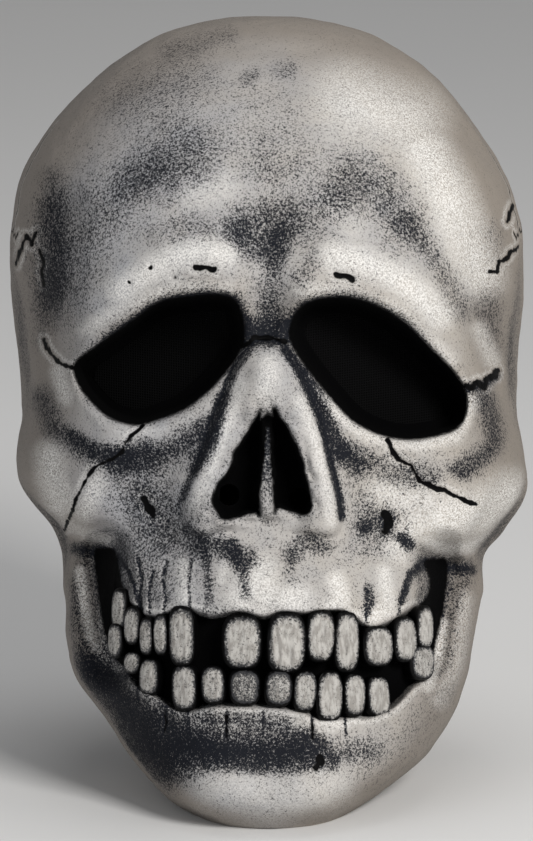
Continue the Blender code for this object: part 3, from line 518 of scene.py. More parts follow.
# Colours, as linear RGB
BONE_WARM = (0.50, 0.465, 0.42, 1.0)
# The cool bone is also the shaded copy of the bone, painted on the left side away from the light
BONE_COOL_SHADE = (0.40, 0.405, 0.425, 1.0)
BONE_LIGHT = (0.82, 0.805, 0.78, 1.0)
# Taupe: the colour of the sides and back, and painted shade where the surface turns from the front
TAUPE_AND_SHADE = (0.235, 0.205, 0.175, 1.0)
WASH_GREY = (0.10, 0.105, 0.125, 1.0)
WASH_DARK = (0.006, 0.0075, 0.012, 1.0)
HOLLOW_BLACK = (0.0010, 0.0010, 0.0012, 1.0)
TOOTH_CREAM = (0.48, 0.465, 0.44, 1.0)
TOOTH_GREY = (0.30, 0.285, 0.265, 1.0)
LATEX_TAN = (0.42, 0.31, 0.19, 1.0)
LATEX_DARK = (0.33, 0.235, 0.14, 1.0)
GAUZE_THREAD = (0.0035, 0.0035, 0.0038, 1.0)
GAUZE_HOLE = (0.001, 0.001, 0.001, 1.0)
FLOOR_PALE = (0.78, 0.78, 0.78, 1.0)
WHITE = (1.0, 1.0, 1.0, 1.0)


def smooth_step(low, high, value):
    """Nought below low, one above high, and 3s^2 - 2s^3 of the share between them."""
    share = np.clip((value - low) / (high - low), 0.0, 1.0)
    return share * share * (3.0 - 2.0 * share)


def hump(value, middle, width):
    """exp(-s^2) of the distance s from the middle, counted in widths."""
    return np.exp(-((value - middle) / width) ** 2)


def catmull_rom(a, b, c, d, t):
    """The smooth curve through a, b, c and d, at a share t of the way from b to c."""
    return 0.5 * (2 * b + (c - a) * t + (2 * a - 5 * b + 4 * c - d) * t ** 2
                  + (3 * b - a - 3 * c + d) * t ** 3)


def sections_at(rows):
    """The columns of SECTIONS, along a smooth curve (Catmull-Rom) at fractional row numbers."""
    past_pole = np.array([1, -1, -1, -1, -1, 1, 1])
    table = np.vstack([SECTIONS[1] * past_pole, SECTIONS, SECTIONS[-2] * past_pole])
    first = np.clip(np.floor(rows).astype(int), 0, len(SECTIONS) - 2)
    return catmull_rom(*(table[first + k] for k in range(4)), (rows - first)[:, None])


def base_points(rows, turns):
    """Points of the head without its modelling, for a grid of section rows and turns about it.
    Each section is a squared ellipse: x = half width * |sin|^(2/s), y = reach * |cos|^(2/s)."""
    table = sections_at(rows.ravel()).reshape(rows.shape + (7,))
    up, left, right, front, back, square, ahead = np.moveaxis(table, 2, 0)
    sine, cosine = np.sin(turns)[None, :], np.cos(turns)[None, :]
    half = np.where(sine < 0, left, right) * HALF_WIDTH
    reach = np.where(cosine > 0, front * FACE_DEPTH, back * BACK_DEPTH)
    x = half * np.sign(sine) * np.abs(sine) ** (2 / square)
    y = -ahead * FACE_DEPTH - reach * np.sign(cosine) * np.abs(cosine) ** (2 / square)
    return np.stack([x, y, up * FACE_HEIGHT], axis=-1)


def base_front(x, z):
    """The Y of the face at (x, z), without its modelling."""
    dense = sections_at(np.linspace(0, len(SECTIONS) - 1, 40 * len(SECTIONS)))[::-1]
    left, right, front, square, ahead = (
        np.interp(z / FACE_HEIGHT, dense[:, 0], dense[:, k]) for k in (1, 2, 3, 5, 6)
    )
    half = np.maximum(np.where(x < 0, left, right) * HALF_WIDTH, 1e-6)
    bow = np.clip(1 - np.abs(x / half) ** square, 0, 1) ** (1 / square)
    return -ahead * FACE_DEPTH - front * FACE_DEPTH * bow


def nearest_on_path(x, z, points):
    """Each (x, z)'s distance from the broken line through the points, and its nearest place."""
    best = np.full(x.shape, np.inf)
    near_x, near_z = np.zeros(x.shape), np.zeros(x.shape)
    for (ax, az), (bx, bz) in zip(points, points[1:]):
        length = max((bx - ax) ** 2 + (bz - az) ** 2, 1e-12)
        share = np.clip(((x - ax) * (bx - ax) + (z - az) * (bz - az)) / length, 0, 1)
        px, pz = ax + share * (bx - ax), az + share * (bz - az)
        away = (x - px) ** 2 + (z - pz) ** 2
        nearer = away < best
        best = np.where(nearer, away, best)
        near_x, near_z = np.where(nearer, px, near_x), np.where(nearer, pz, near_z)
    return np.sqrt(best), near_x, near_z


def distance_to_path(x, z, points, limit=FAR):
    """The distance of each (x, z) from the broken line through the points, or limit beyond it."""
    points = np.vstack([points, points]) if len(points) == 1 else points
    low, high = points.min(axis=0) - limit, points.max(axis=0) + limit
    near = (x > low[0]) & (x < high[0]) & (z > low[1]) & (z < high[1])
    away = np.full(x.shape, limit)
    if near.any():
        away[near] = np.minimum(nearest_on_path(x[near], z[near], points)[0], limit)
    return away


def distance_outside(x, z, outline, limit=FAR):
    """Distance from a closed outline, below nought inside it, where a line crosses it an odd number
    of times on its way out."""
    closed = np.vstack([outline, outline[:1]])
    away = distance_to_path(x, z, closed, limit)
    odd = np.zeros(x.shape, bool)
    for (ax, az), (bx, bz) in zip(closed, closed[1:]):
        if az != bz:
            odd ^= ((az > z) != (bz > z)) & (x < ax + (z - az) * (bx - ax) / (bz - az))
    return np.where(odd, -away, away)


def stroke_share(x, z, path, reach, width):
    """(1 - s^2)^2 of the distance s from a stroke, counted in REACH_TO_NOUGHT reaches."""
    spread = REACH_TO_NOUGHT * reach * HALF_WIDTH
    away = distance_to_path(x, z, np.array(path) * (width, FACE_HEIGHT), spread)
    return (1 - np.clip(away / spread, 0, 1) ** 2) ** 2


def painted_share(x, z, path, reach):
    """The share of a stroke of paint, whose points are in thousandths."""
    return stroke_share(x, z, np.array(path) / 1000, reach, HALF_WIDTH)


def modelling(x, z, strokes=STROKES, width=HALF_WIDTH):
    """How far the face stands out at (x, z): the sum of its strokes."""
    total = np.zeros(x.shape)
    for _, height, reach, path in strokes:
        total += height * RELIEF * stroke_share(x, z, path, reach, width)
    return total


def side_hollow(y, z):
    """How far the sides of the head are drawn in at (y, z)."""
    return modelling(y, z, SIDE_HOLLOWS, FACE_DEPTH)


def fades(turns):
    """How fully the face's modelling and the sides' hollows apply at each turn about the head."""
    return smooth_step(0.0, 0.35, np.cos(turns)), smooth_step(0.35, 0.8, np.abs(np.sin(turns)))


def lumps(points, cell, seed):
    """Smooth noise from -1 to 1: seeded values on a cubic lattice, blended by a smooth step."""
    lattice = np.random.default_rng(seed).uniform(-1, 1, (32, 32, 32))
    at = points / cell
    first = np.floor(at).astype(int)
    share = smooth_step(0, 1, at - first)
    total = np.zeros(points.shape[:-1])
    for corner in np.ndindex(2, 2, 2):
        weight = np.prod(np.where(np.array(corner) == 1, share, 1 - share), axis=-1)
        i, j, k = np.moveaxis((first + np.array(corner)) % 32, -1, 0)
        total += weight * lattice[i, j, k]
    return total


def sized(outline):
    """Shares (across, up) in metres."""
    return np.array(outline) * (HALF_WIDTH, FACE_HEIGHT)


def line_of(path):
    """A path given in thousandths, in metres."""
    return sized(np.array(path) / 1000)


def grown(outline, by):
    """The outline moved outwards by a length, or inwards where it is below nought."""
    before, after = np.roll(outline, 1, axis=0), np.roll(outline, -1, axis=0)
    along = after - before
    normal = np.stack([along[:, 1], -along[:, 0]], axis=1)
    normal /= np.linalg.norm(normal, axis=1)[:, None]
    area = np.sum(outline[:, 0] * after[:, 1] - after[:, 0] * outline[:, 1])
    return outline + normal * by * np.sign(area)


def rounded(outline, steps=5):
    """The closed outline as a smooth curve through its points (Catmull-Rom)."""
    a, b = np.roll(outline, 1, axis=0), outline
    c, d = np.roll(outline, -1, axis=0), np.roll(outline, -2, axis=0)
    pieces = [catmull_rom(a, b, c, d, t) for t in np.arange(steps) / steps]
    return np.stack(pieces, axis=1).reshape(-1, 2)


def inward_normals(points):
    """Unit normals of a closed ring grid of points, turned towards the middle of each ring."""
    around = np.roll(points, -1, axis=1) - np.roll(points, 1, axis=1)
    normal = np.cross(around, np.gradient(points, axis=0))
    normal[0] = (0, 0, -1)
    normal /= np.maximum(np.linalg.norm(normal, axis=2), 1e-12)[..., None]
    towards_middle = np.sum(normal * (points.mean(axis=1, keepdims=True) - points), axis=2)
    towards_middle[0] = 1
    return normal * np.where(towards_middle < 0, -1.0, 1.0)[..., None]


def socket_plane(x, depth):
    """Y on the slanted plane that lies this far behind the face at the middle of the sockets."""
    middle = SOCKET_MIDDLE[0] * HALF_WIDTH
    face = base_front(np.array([middle]), np.array([SOCKET_MIDDLE[1] * FACE_HEIGHT]))[0]
    return face + depth + (np.abs(x) - middle) * math.tan(SOCKET_YAW)


def above_rim(points):
    """Height above the plane that the rim stands on."""
    return points[..., 2] * math.cos(LEAN) - (points[..., 1] + RIM_FRONT) * math.sin(LEAN)


def turns_about():
    """Turns about the head, nought at the face: a blend of even angles and even arcsines there."""
    share = np.linspace(-1, 1, FACE_COLUMNS + 1)
    face = ARCSINE_SHARE * np.arcsin(share) + (1 - ARCSINE_SHARE) * 0.5 * math.pi * share
    nape = np.linspace(0.5 * math.pi, 1.5 * math.pi, NAPE_COLUMNS + 1)[1:-1]
    return np.concatenate([face, nape])


def rim_rows(turns, surface_of, finest):
    """The row number at which each column of a surface first passes below the rim's plane."""
    dense = np.linspace(RIM_SEARCH_ROW, len(SECTIONS) - 1, finest)
    rows = np.repeat(dense[:, None], len(turns), axis=1)
    height = above_rim(surface_of(rows, turns))
    first = np.argmax(height[1:] <= 0, axis=0)
    over, under = (np.take_along_axis(height, (first + k)[None, :], axis=0)[0] for k in (0, 1))
    share = np.clip(over / np.maximum(over - under, 1e-9), 0, 1)
    return dense[first] + share * (dense[1] - dense[0])


def set_on_rim(points):
    """Moves the last row up or down onto the rim's plane."""
    points[-1, :, 2] = (points[-1, :, 1] + RIM_FRONT) * math.tan(LEAN)
    return points


def modelled(rows, turns):
    """The head with its modelling and its side hollows, without openings or fine relief."""
    points = base_points(rows, turns)
    x, y, z = np.moveaxis(points, 2, 0).copy()
    front_fade, side_fade = fades(turns)
    points[..., 0] -= np.sign(x) * side_hollow(y, z) * side_fade
    points[..., 1] -= modelling(x, z) * front_fade
    return points


def mouth_outline():
    """The outline between the gum lines."""
    across, upper, lower = np.array(MOUTH).T
    across = np.minimum(across, MOUTH_CORNER)
    top = np.stack([across, upper], axis=1)
    bottom = np.stack([across, lower], axis=1)[::-1]
    return rounded(sized(np.vstack([top, bottom])), 3)


def openings(x, z):
    """Distance outside each opening of the face. The nose's outlines are a little ragged."""
    gaps = {name: distance_outside(x, z, rounded(sized(outline)))
            for name, outline in OUTLINES.items()}
    gaps["mouth"] = distance_outside(x, z, mouth_outline())
    ragged = 0.0007 * lumps(np.stack([x, 0 * x, z], axis=-1), 0.0042, 31)
    for name in ("nose_left", "nose_right", "nose_middle"):
        gaps[name] = gaps[name] + ragged
    return gaps


def root_bulges(x, z):
    """Low ridges over the roots of the teeth, fading away from the gum lines."""
    total = np.zeros(x.shape)
    for jaw, across, up, width, height in TEETH:
        away = 1 if jaw == "upper" else -1
        reach = 0.016 if jaw == "upper" else 0.008
        beyond = away * (z - (up + away * 0.5 * height) * FACE_HEIGHT)
        along = smooth_step(-0.003, 0.001, beyond) * (1 - smooth_step(0.25 * reach, reach, beyond))
        total += along * hump(x, across * HALF_WIDTH, 0.36 * width * HALF_WIDTH)
    return 0.0011 * total


def fine_relief(points, gaps):
    """What the hand tool left on the face: lips round the openings, roots, grooves and cracks."""
    x, _, z = np.moveaxis(points, 2, 0)
    uneven = lumps(points, 0.006, 3)
    socket = np.minimum(gaps["socket_left"], gaps["socket_right"])
    nose = np.minimum(np.minimum(gaps["nose_left"], gaps["nose_right"]), gaps["nose_middle"])
    total = 0.0013 * hump(socket, 0.0028, 0.0022) * (1 + 0.3 * uneven)
    bone = distance_outside(x, z, rounded(sized(NOSE_BONE)))
    low_middle = hump(x, 0, 0.011) * smooth_step(0.400, 0.372, z / FACE_HEIGHT)
    total += NOSE_BONE_PROUD * smooth_step(0.0012, -0.0020, bone) * (1 - low_middle)
    total -= 0.0009 * hump(bone, 0.0010, 0.0012) * (1 - low_middle)
    knobs = lumps(points, 0.0035, 33)
    total += 0.0028 * hump(nose, 0.0018, 0.0016) * knobs * (bone < 0)
    total += 0.0007 * hump(gaps["mouth"], 0.0014, 0.0011) * (1 + 0.8 * uneven)
    total += root_bulges(x, z)
    for _, depth, reach, path in GROOVES:
        total -= depth * hump(distance_to_path(x, z, line_of(path), 3 * reach), 0, reach)
    for _, half, path in CRACKS:
        total -= 0.0007 * hump(distance_to_path(x, z, line_of(path), CRACK_FAR), 0, half + 0.0005)
    return total


def sink(points, floor, away, kind):
    """Draws the surface back to a floor: by a smooth step of the distance from an outline."""
    share = smooth_step(*TURNS_DOWN[kind], away) * (points[..., 1] < 0)
    points[..., 1] += share * np.maximum(floor - points[..., 1], 0)


def as_seen(points):
    """(x, z) of each point as the camera sees it, set back on the plane of the face."""
    shrink = (CAMERA_DISTANCE - FACE_PLANE) / (CAMERA_DISTANCE + points[..., 1])
    return points[..., 0] * shrink, CAMERA_HEIGHT + (points[..., 2] - CAMERA_HEIGHT) * shrink


def paint(points, gaps, relief, outward, plain_outward):
    """Amounts of paint at each point, as attributes for the material: dark wash, in places painted
    shade too, light that is partly dry-brush paint and partly painted highlights, taupe that is
    painted shade where the surface turns from the front and the colour of the back, the distances
    from the nearest opening and crack, and how warm, which paints light on the right and shade on
    the left."""
    x, z = as_seen(points)
    front = smooth_step(0.04, 0.25, -plain_outward[..., 1])
    blotch = 0.5 * lumps(points, 0.022, 11) + 0.5 * lumps(points, 0.009, 12)
    patchy = np.clip(1 + 0.35 * lumps(points, 0.012, 17), 0.2, 2.0)
    bare = np.ones(x.shape)
    for _, cover, reach, path in WASHES:
        share = painted_share(x, z, path, reach) * front
        bare *= 1 - np.clip(cover * share * patchy ** (1 - share), 0, 0.98)
    light = np.zeros(x.shape)
    for _, brightness, reach, path in HIGHLIGHTS:
        light = np.maximum(light, brightness * painted_share(x, z, path, reach) * front)
    within = dict(gaps, mouth=gaps["mouth"] + GUM_SHOWN)
    nearest = np.minimum.reduce(list(within.values()))
    nearest = np.where(points[..., 1] < 0, nearest, FAR)
    sockets = np.minimum(gaps["socket_left"], gaps["socket_right"])
    brow = smooth_step(0.56, 0.62, z / FACE_HEIGHT)
    # Painted shade: dark under the brows along the sockets' tops, heavier on the left away from the
    # light, and round every opening; a dark line beside the nose bone; and darker in the hollows of
    # the modelling, where wash gathers as well as painted shade
    bare *= 1 - np.where(x < 0, 0.85, 0.60) * brow * np.exp(-np.clip(sockets, 0, 1) / 0.0017)
    bare *= 1 - 0.35 * np.exp(-np.clip(nearest, 0, 1) / 0.0012)
    bone = distance_outside(x, z, rounded(sized(NOSE_BONE)))
    low = 0.55 + 0.45 * smooth_step(0.42, 0.52, z / FACE_HEIGHT)
    low *= smooth_step(0.365, 0.405, z / FACE_HEIGHT)
    bare *= 1 - 0.9 * low * hump(bone, 0.0012, 0.0010)
    bare *= 1 - 0.45 * smooth_step(0.0010, 0.007, -relief) * (1 - 0.85 * light)
    # A painted highlight along the raised gum rims round the mouth
    light = np.maximum(light, 0.55 * hump(gaps["mouth"], 0.0016, 0.0011) * front)
    # Where the surface turns from the front it goes taupe: painted shade as it turns from the light,
    # and the colour of the sides and back; the rest of the bone has a thin blotchy wash all over
    taupe_and_shade = 1 - smooth_step(0.38, 0.84, -plain_outward[..., 1])
    ground = (0.21 + 0.15 * blotch - 0.14 * light) * (1 - 0.7 * taupe_and_shade)
    wash = 1 - bare * (1 - ground)
    # On the sides the wash is heavier in the side hollows: wash gathered there and painted shade
    beside = side_hollow(points[..., 1], points[..., 2]) / (0.5 * RELIEF)
    beside = np.clip(beside, 0, 1) * smooth_step(0.35, 0.8, np.abs(outward[..., 0]))
    rounds = 0.16 + 0.16 * blotch + 0.45 * beside
    wash = front * wash + (1 - front) * rounds
    # The septum, wider and thinner painted at its foot
    half = 0.0003 + 0.0024 * smooth_step(0.50, 0.385, z / FACE_HEIGHT)
    half = half + 0.0006 * lumps(points, 0.0025, 34)
    septum = half - distance_to_path(x, z, line_of(SEPTUM))
    septum = np.where(points[..., 1] < -0.05, septum, -1.0)
    nearest = np.maximum(nearest, septum)
    thin = 0.78 - 0.40 * smooth_step(0.47, 0.385, z / FACE_HEIGHT)
    wash = np.where(septum > -0.0005, thin, wash)
    crack = np.full(x.shape, CRACK_FAR)
    ragged = 1.15 + 0.8 * lumps(points, 0.0026, 35)
    for _, half, path in CRACKS:
        away = distance_to_path(x, z, line_of(path), 1.5 * CRACK_FAR)
        crack = np.minimum(crack, np.where(away < CRACK_FAR, away - half * ragged, CRACK_FAR))
    crack = np.where(front > 0.3, crack, CRACK_FAR)
    y, high = points[..., 1], points[..., 2]
    for _, half, path in SIDE_SUTURES:
        along = np.array(path) / 1000 * (FACE_DEPTH, FACE_HEIGHT)
        away = distance_to_path(y, high, along, CRACK_FAR)
        crack = np.minimum(crack, np.where(np.abs(outward[..., 0]) > 0.3, away - half, CRACK_FAR))
    # Painted highlights on the raised lips beside the cracks
    light = np.maximum(light, 0.6 * hump(crack, 0.0013, 0.0007) * front)
    # Painted shadow under the brows: a warm, taupe band just above the sockets
    lid = brow * np.exp(-np.clip(sockets, 0, 1) / 0.004)
    taupe_and_shade = np.maximum(taupe_and_shade, 0.6 * lid)
    # Warmer and lighter towards the viewer's right, cooler and darker towards the left: painted light
    # and shade, with mottling at random and the brows' painted shadow
    tone_and_shade = 0.5 + 0.5 * x / HALF_WIDTH + 0.15 * lumps(points, 0.035, 14) + 0.5 * lid
    return {
        "wash": wash,
        "light": light,
        "taupe_and_shade": np.maximum(taupe_and_shade, 1 - front),
        "opening": nearest,
        "crack": crack,
        "tone_and_shade": np.clip(tone_and_shade, 0, 1),
    }


def skin():
    """The outside of the mask as one grid of points, from the crown to the rim and round the head:
    sections, then modelling, fine relief and ripples, then openings drawn back to their floors."""
    turns = turns_about()
    rim = rim_rows(turns, modelled, 281)
    cranium = np.linspace(0, BROW_ROW, CRANIUM_STEPS + 1)[:, None] + 0 * rim
    orbits = np.linspace(BROW_ROW, NOSE_ROW, ORBIT_STEPS + 1)[1:, None] + 0 * rim
    jaw = NOSE_ROW + np.linspace(0, 1, JAW_STEPS + 1)[1:, None] * (rim - NOSE_ROW)
    rows = np.vstack([cranium, orbits, jaw])
    base = base_points(rows, turns)
    points = modelled(rows, turns)
    front_fade, _ = fades(turns)
    gaps = openings(base[..., 0], base[..., 2])
    relief = modelling(base[..., 0], base[..., 2]) * front_fade
    fine = fine_relief(base, gaps) * front_fade
    points[..., 1] -= fine
    ripple = 0.00045 * lumps(base, 0.013, 5) + 0.00020 * lumps(base, 0.005, 6)
    points -= inward_normals(base) * ripple[..., None]
    gaps = openings(points[..., 0], points[..., 2])
    amounts = paint(points, gaps, relief + fine, -inward_normals(points), -inward_normals(base))
    x, z = points[..., 0].copy(), points[..., 2].copy()
    front = base_front(x, z)
    for name, floor, kind in (
        ("socket_left", socket_plane(x, SOCKET_DEPTH), "socket"),
        ("socket_right", socket_plane(x, SOCKET_DEPTH), "socket"),
        ("nose_middle", -SEPTUM_RECESS, "septum"),
        ("nose_left", -NOSE_FLOOR, "nose"),
        ("nose_right", -NOSE_FLOOR, "nose"),
        ("cheek_left", front + CHEEK_HOLLOW_DEPTH, "cheek"),
        ("cheek_right", front + CHEEK_HOLLOW_DEPTH, "cheek"),
        ("mouth", front + MOUTH_DEPTH, "mouth"),
    ):
        sink(points, floor, gaps[name], kind)
    return set_on_rim(points), amounts, turns


def sights():
    """The outlines of the sight openings in the floors of the sockets."""
    inset = -LEDGE - SIGHT_INSET
    return [rounded(grown(sized(outline), inset)) for outline in (SOCKET_LEFT, SOCKET_RIGHT)]


def nostrils():
    """The outlines of the breathing holes in the floors of the nose."""
    turns = np.linspace(0, 2 * math.pi, 48, endpoint=False)
    ring = NOSTRIL_RADIUS * np.stack([np.cos(turns), np.sin(turns)], axis=1)
    return [ring + sized(middle) for middle in NOSTRILS]


def cut_holes(points):
    """Which points lie in a hole through the wall. Those next to solid are drawn to its edge."""
    x, z = points[..., 0], points[..., 2]
    inside = np.zeros(x.shape, bool)
    in_front = points[..., 1] < IN_FRONT
    for outline in sights() + nostrils():
        here = (distance_outside(x, z, outline, HOLE_FAR) < 0) & in_front
        inside |= here
        edge = here & near_solid(here)
        ring = np.vstack([outline, outline[:1]])
        _, to_x, to_z = nearest_on_path(x[edge], z[edge], ring)
        x[edge], z[edge] = to_x, to_z
    return inside


def near_solid(inside):
    """Which of the inside points share a face with one that isn't."""
    solid = np.pad(~inside, 1, mode="edge")
    rows, columns = inside.shape
    beside = np.zeros(inside.shape, bool)
    for i, j in np.ndindex(3, 3):
        beside |= solid[i:i + rows, j:j + columns]
    return beside


def on_the_ground(points):
    """Tips points of the face's frame back by LEAN, onto the rim."""
    x, y, z = np.moveaxis(np.asarray(points, float), -1, 0)
    back = y * math.cos(LEAN) + z * math.sin(LEAN)
    up = z * math.cos(LEAN) - y * math.sin(LEAN) - RIM_FRONT * math.sin(LEAN)
    return np.stack([x, back, up], axis=-1) + SHIFT


def shift_to_frame():
    """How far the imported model's gauzes lie from where these formulas put them, across and back."""
    slant = 1 / math.cos(SOCKET_YAW)
    front = SOCKET_DEPTH + (WALL + CLEARANCE) * slant
    back = front + GAUZE_THICKNESS * slant
    corners, packed = [], []
    for side, outline in (("left", SOCKET_LEFT), ("right", SOCKET_RIGHT)):
        edge = grown(grown(sized(outline), -LEDGE), GAUZE_LAP)
        for depth in (front, back):
            y = socket_plane(edge[:, 0], depth)
            corners.append(np.stack([edge[:, 0], y, edge[:, 1]], axis=1))
        packed += [np.array(corner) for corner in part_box(f"eye_gauze_{side}")]
    x, y, z = np.vstack(corners).T
    back = y * math.cos(LEAN) + z * math.sin(LEAN)
    packed = np.array(packed)
    across = (packed[:, 0].min() + packed[:, 0].max() - x.min() - x.max()) / 2
    behind = (packed[:, 1].min() + packed[:, 1].max() - back.min() - back.max()) / 2
    return np.array([across, behind, 0.0])


def in_scene(name, data):
    """A new object in the scene."""
    thing = bpy.data.objects.new(name, data)
    bpy.context.scene.collection.objects.link(thing)
    return thing


def piece_from(name, points, faces, amounts):
    """An object with points in the face's frame, its faces, and amounts as attributes."""
    mesh = bpy.data.meshes.new(name)
    mesh.from_pydata(on_the_ground(points).tolist(), [], faces)
    for key, values in amounts.items():
        layer = mesh.attributes.new(key, "FLOAT", "POINT")
        layer.data.foreach_set("value", values.astype(np.float32))
    mesh.shade_smooth()
    return in_scene(name, mesh)


def surface(name, grid, amounts=None, holes=None, inside_out=False, pole=False):
    """A mesh through a grid of points in the face's frame: rows run down and columns to the
    viewer's right, so its faces look out of the grid, or into it with inside_out. Faces with a
    point in a hole on every corner are left out, and with pole the first row is one point."""
    rows, columns = grid.shape[:2]
    index = np.arange(rows * columns).reshape(rows, columns)
    if pole:
        index[0] = 0
    quads = np.stack([index[:-1, :-1], index[1:, :-1], index[1:, 1:], index[:-1, 1:]], axis=-1)
    if holes is not None:
        gone = holes[:-1, :-1] & holes[1:, :-1] & holes[1:, 1:] & holes[:-1, 1:]
        quads = quads[~gone]
    quads = quads.reshape(-1, 4)
    used, renumbered = np.unique(quads, return_inverse=True)
    quads = renumbered.reshape(-1, 4)
    if inside_out:
        quads = quads[:, ::-1]
    faces = quads.tolist()
    if pole:
        faces = [list(dict.fromkeys(face)) for face in faces]
    amounts = {key: values.reshape(-1)[used] for key, values in (amounts or {}).items()}
    return piece_from(name, grid.reshape(-1, 3)[used], faces, amounts)


def around(grid):
    """The grid with its first column again after its last."""
    return np.concatenate([grid, grid[:, :1]], axis=1)


def lining_of(rows, turns):
    """The inside: the head moved in by the wall, behind the deepest modelling nearby."""
    points = base_points(rows, turns)
    x, y, z = np.moveaxis(points, 2, 0)
    lowest, deepest = np.full(x.shape, SMOOTH_INSIDE * RELIEF), np.zeros(x.shape)
    gap = distance_outside(x, z, mouth_outline())
    hollows = [rounded(sized(outline)) for outline in (CHEEK_HOLLOW_LEFT, CHEEK_HOLLOW_RIGHT)]
    beside = np.minimum(*(distance_outside(x, z, outline) for outline in hollows))
    for turn in np.linspace(0, 2 * math.pi, 8, endpoint=False):
        across, up = 2 * WALL * math.cos(turn), 2 * WALL * math.sin(turn)
        lowest = np.minimum(lowest, modelling(x + across, z + up))
        deepest = np.maximum(deepest, side_hollow(y + across, z + up))
    lowest = lowest - MOUTH_DEPTH * smooth_step(0.010, 0.003, gap)
    lowest = np.minimum(lowest, -CHEEK_HOLLOW_DEPTH * smooth_step(0.010, 0.002, beside))
    inner = points + inward_normals(points) * WALL
    front_fade, side_fade = fades(turns)
    inner[..., 0] -= np.sign(x) * deepest * side_fade
    inner[..., 1] -= lowest * front_fade
    return inner


def lining(turns):
    """The inside of the mask as one grid, with cups behind the sockets and the nose."""
    rim = rim_rows(turns, lining_of, 71)
    rows = np.linspace(0, 1, LINING_STEPS + 1)[:, None] * rim
    inner = lining_of(rows, turns)
    x, z = inner[..., 0], inner[..., 2]
    seat = socket_plane(x, SOCKET_DEPTH + WALL / math.cos(SOCKET_YAW))
    for outline in (SOCKET_LEFT, SOCKET_RIGHT):
        away = distance_outside(x, z, rounded(grown(sized(outline), WALL)))
        sink(inner, seat, away, "cup")
    nose = sized(NOSE_RIGHT[::-1][:-1] + NOSE_LEFT[1:])
    sink(inner, -NOSE_FLOOR + WALL, distance_outside(x, z, grown(nose, WALL)), "cup")
    return set_on_rim(inner)


def hole_tube(name, outline, front, back):
    """The edge of a hole through the wall: its outline carried from one depth to another."""
    ring = np.vstack([outline, outline[:1]])
    depths = [front + (back - front) * share for share in (0.0, 0.33, 0.67, 1.0)]
    grid = np.stack([np.stack([ring[:, 0], depth, ring[:, 1]], axis=1) for depth in depths])
    turning = np.sum(ring[:-1, 0] * ring[1:, 1] - ring[1:, 0] * ring[:-1, 1])
    return surface(name, grid, inside_out=turning < 0)


def facing(x, z):
    """The Y of the face at (x, z), and the X and Y of the way it faces there, seen from above."""
    step = 0.01 * HALF_WIDTH
    left, face, right = base_front(np.array([x - step, x, x + step]), np.full(3, z))
    slope = (right - left) / (2 * step)
    length = math.hypot(slope, 1.0)
    return face, slope / length, -1.0 / length


def tooth(number, across, up, width, height):
    """One tooth: a rounded oblong carried from its root to its crown. Its outline is a squared
    ellipse |a|^3 + |b|^3 = 1, and its crown narrows as cos^0.72 while it rises as sin^0.9."""
    root = -MOUTH_DEPTH - TOOTH_ROOT
    crown = np.linspace(0, 0.5 * math.pi, 17)
    rise = TOOTH_PROUD * np.sin(crown) ** 0.9
    proud = np.concatenate([[root, root, root, -0.003], rise])
    share = np.concatenate([[0.0, 0.5, 0.95, 1.02], 1.05 * np.cos(crown) ** 0.72])
    share[-1] = 0.0
    around_it = np.linspace(0, 2 * math.pi, 73)
    cosine, sine = np.cos(around_it), np.sin(around_it)
    a = np.sign(cosine) * np.abs(cosine) ** (2 / 3.0)
    b = np.sign(sine) * np.abs(sine) ** (2 / 3.0)
    a[-1], b[-1] = a[0], b[0]
    lean = 0.05 * math.sin(7.3 * number + 1.0)
    a = a * (1 + 0.05 * b * math.sin(3.1 * number)) + lean * b
    x = across * HALF_WIDTH + TOOTH_HALF[0] * width * HALF_WIDTH * share[:, None] * a
    z = up * FACE_HEIGHT + TOOTH_HALF[1] * height * FACE_HEIGHT * share[:, None] * b
    face, sideways, forwards = facing(across * HALF_WIDTH, up * FACE_HEIGHT)
    slope = -sideways / forwards
    on_arch = face + slope * (x - across * HALF_WIDTH)
    out = proud[:, None] + 0 * x
    fluted = np.stack([x / 0.25, 0 * x + number * 0.01, z / 1.6], axis=-1)
    flutes = FLUTES[number not in SMOOTH_TEETH]
    out = out + flutes * lumps(fluted, 0.004, 21) * (share[:, None] < 0.98) * (out > 0)
    points = np.stack([x + 0.5 * sideways * out, on_arch + forwards * out, z], axis=-1)
    root_side = b if up > LOWEST_UPPER_TOOTH else -b
    # The edge value grows towards each tooth's left side, away from the light: painted shade
    edge = share[:, None] * (1 + 0.08 * np.clip(-a, 0, 1) + 0.02 * np.clip(root_side, 0, 1))
    return points, edge, out


def each_once(grid):
    """The values of a closed grid, each once: its first and last rows are one point each, and its
    last column is the first again."""
    middle = grid[1:-1, :-1].reshape((-1,) + grid.shape[2:])
    return np.concatenate([grid[:1, 0], middle, grid[-1:, 0]])


def teeth(name, jaw):
    """All the teeth of one jaw as one mesh."""
    points, faces, start = [], [], 0
    amounts = {"edge": [], "stand": [], "grey": []}
    for number, (side, *place) in enumerate(TEETH):
        if side != jaw:
            continue
        grid, edge, stand = tooth(number, *place)
        for key, values in zip(amounts, (edge, stand, 0 * edge + STAINED[number])):
            amounts[key].append(each_once(values))
        points.append(each_once(grid))
        rings, columns = grid.shape[0] - 2, grid.shape[1] - 1
        ring = start + 1 + np.arange(rings * columns).reshape(rings, columns)
        after = np.roll(ring, -1, axis=1)
        cells = np.stack([ring[:-1], after[:-1], after[1:], ring[1:]], axis=-1)
        faces += cells.reshape(-1, 4).tolist()
        faces += [[start, b, a] for a, b in zip(ring[0].tolist(), after[0].tolist())]
        start += len(points[-1])
        faces += [[start - 1, a, b] for a, b in zip(ring[-1].tolist(), after[-1].tolist())]
    amounts = {key: np.concatenate(values) for key, values in amounts.items()}
    return piece_from(name, np.vstack(points), faces, amounts)


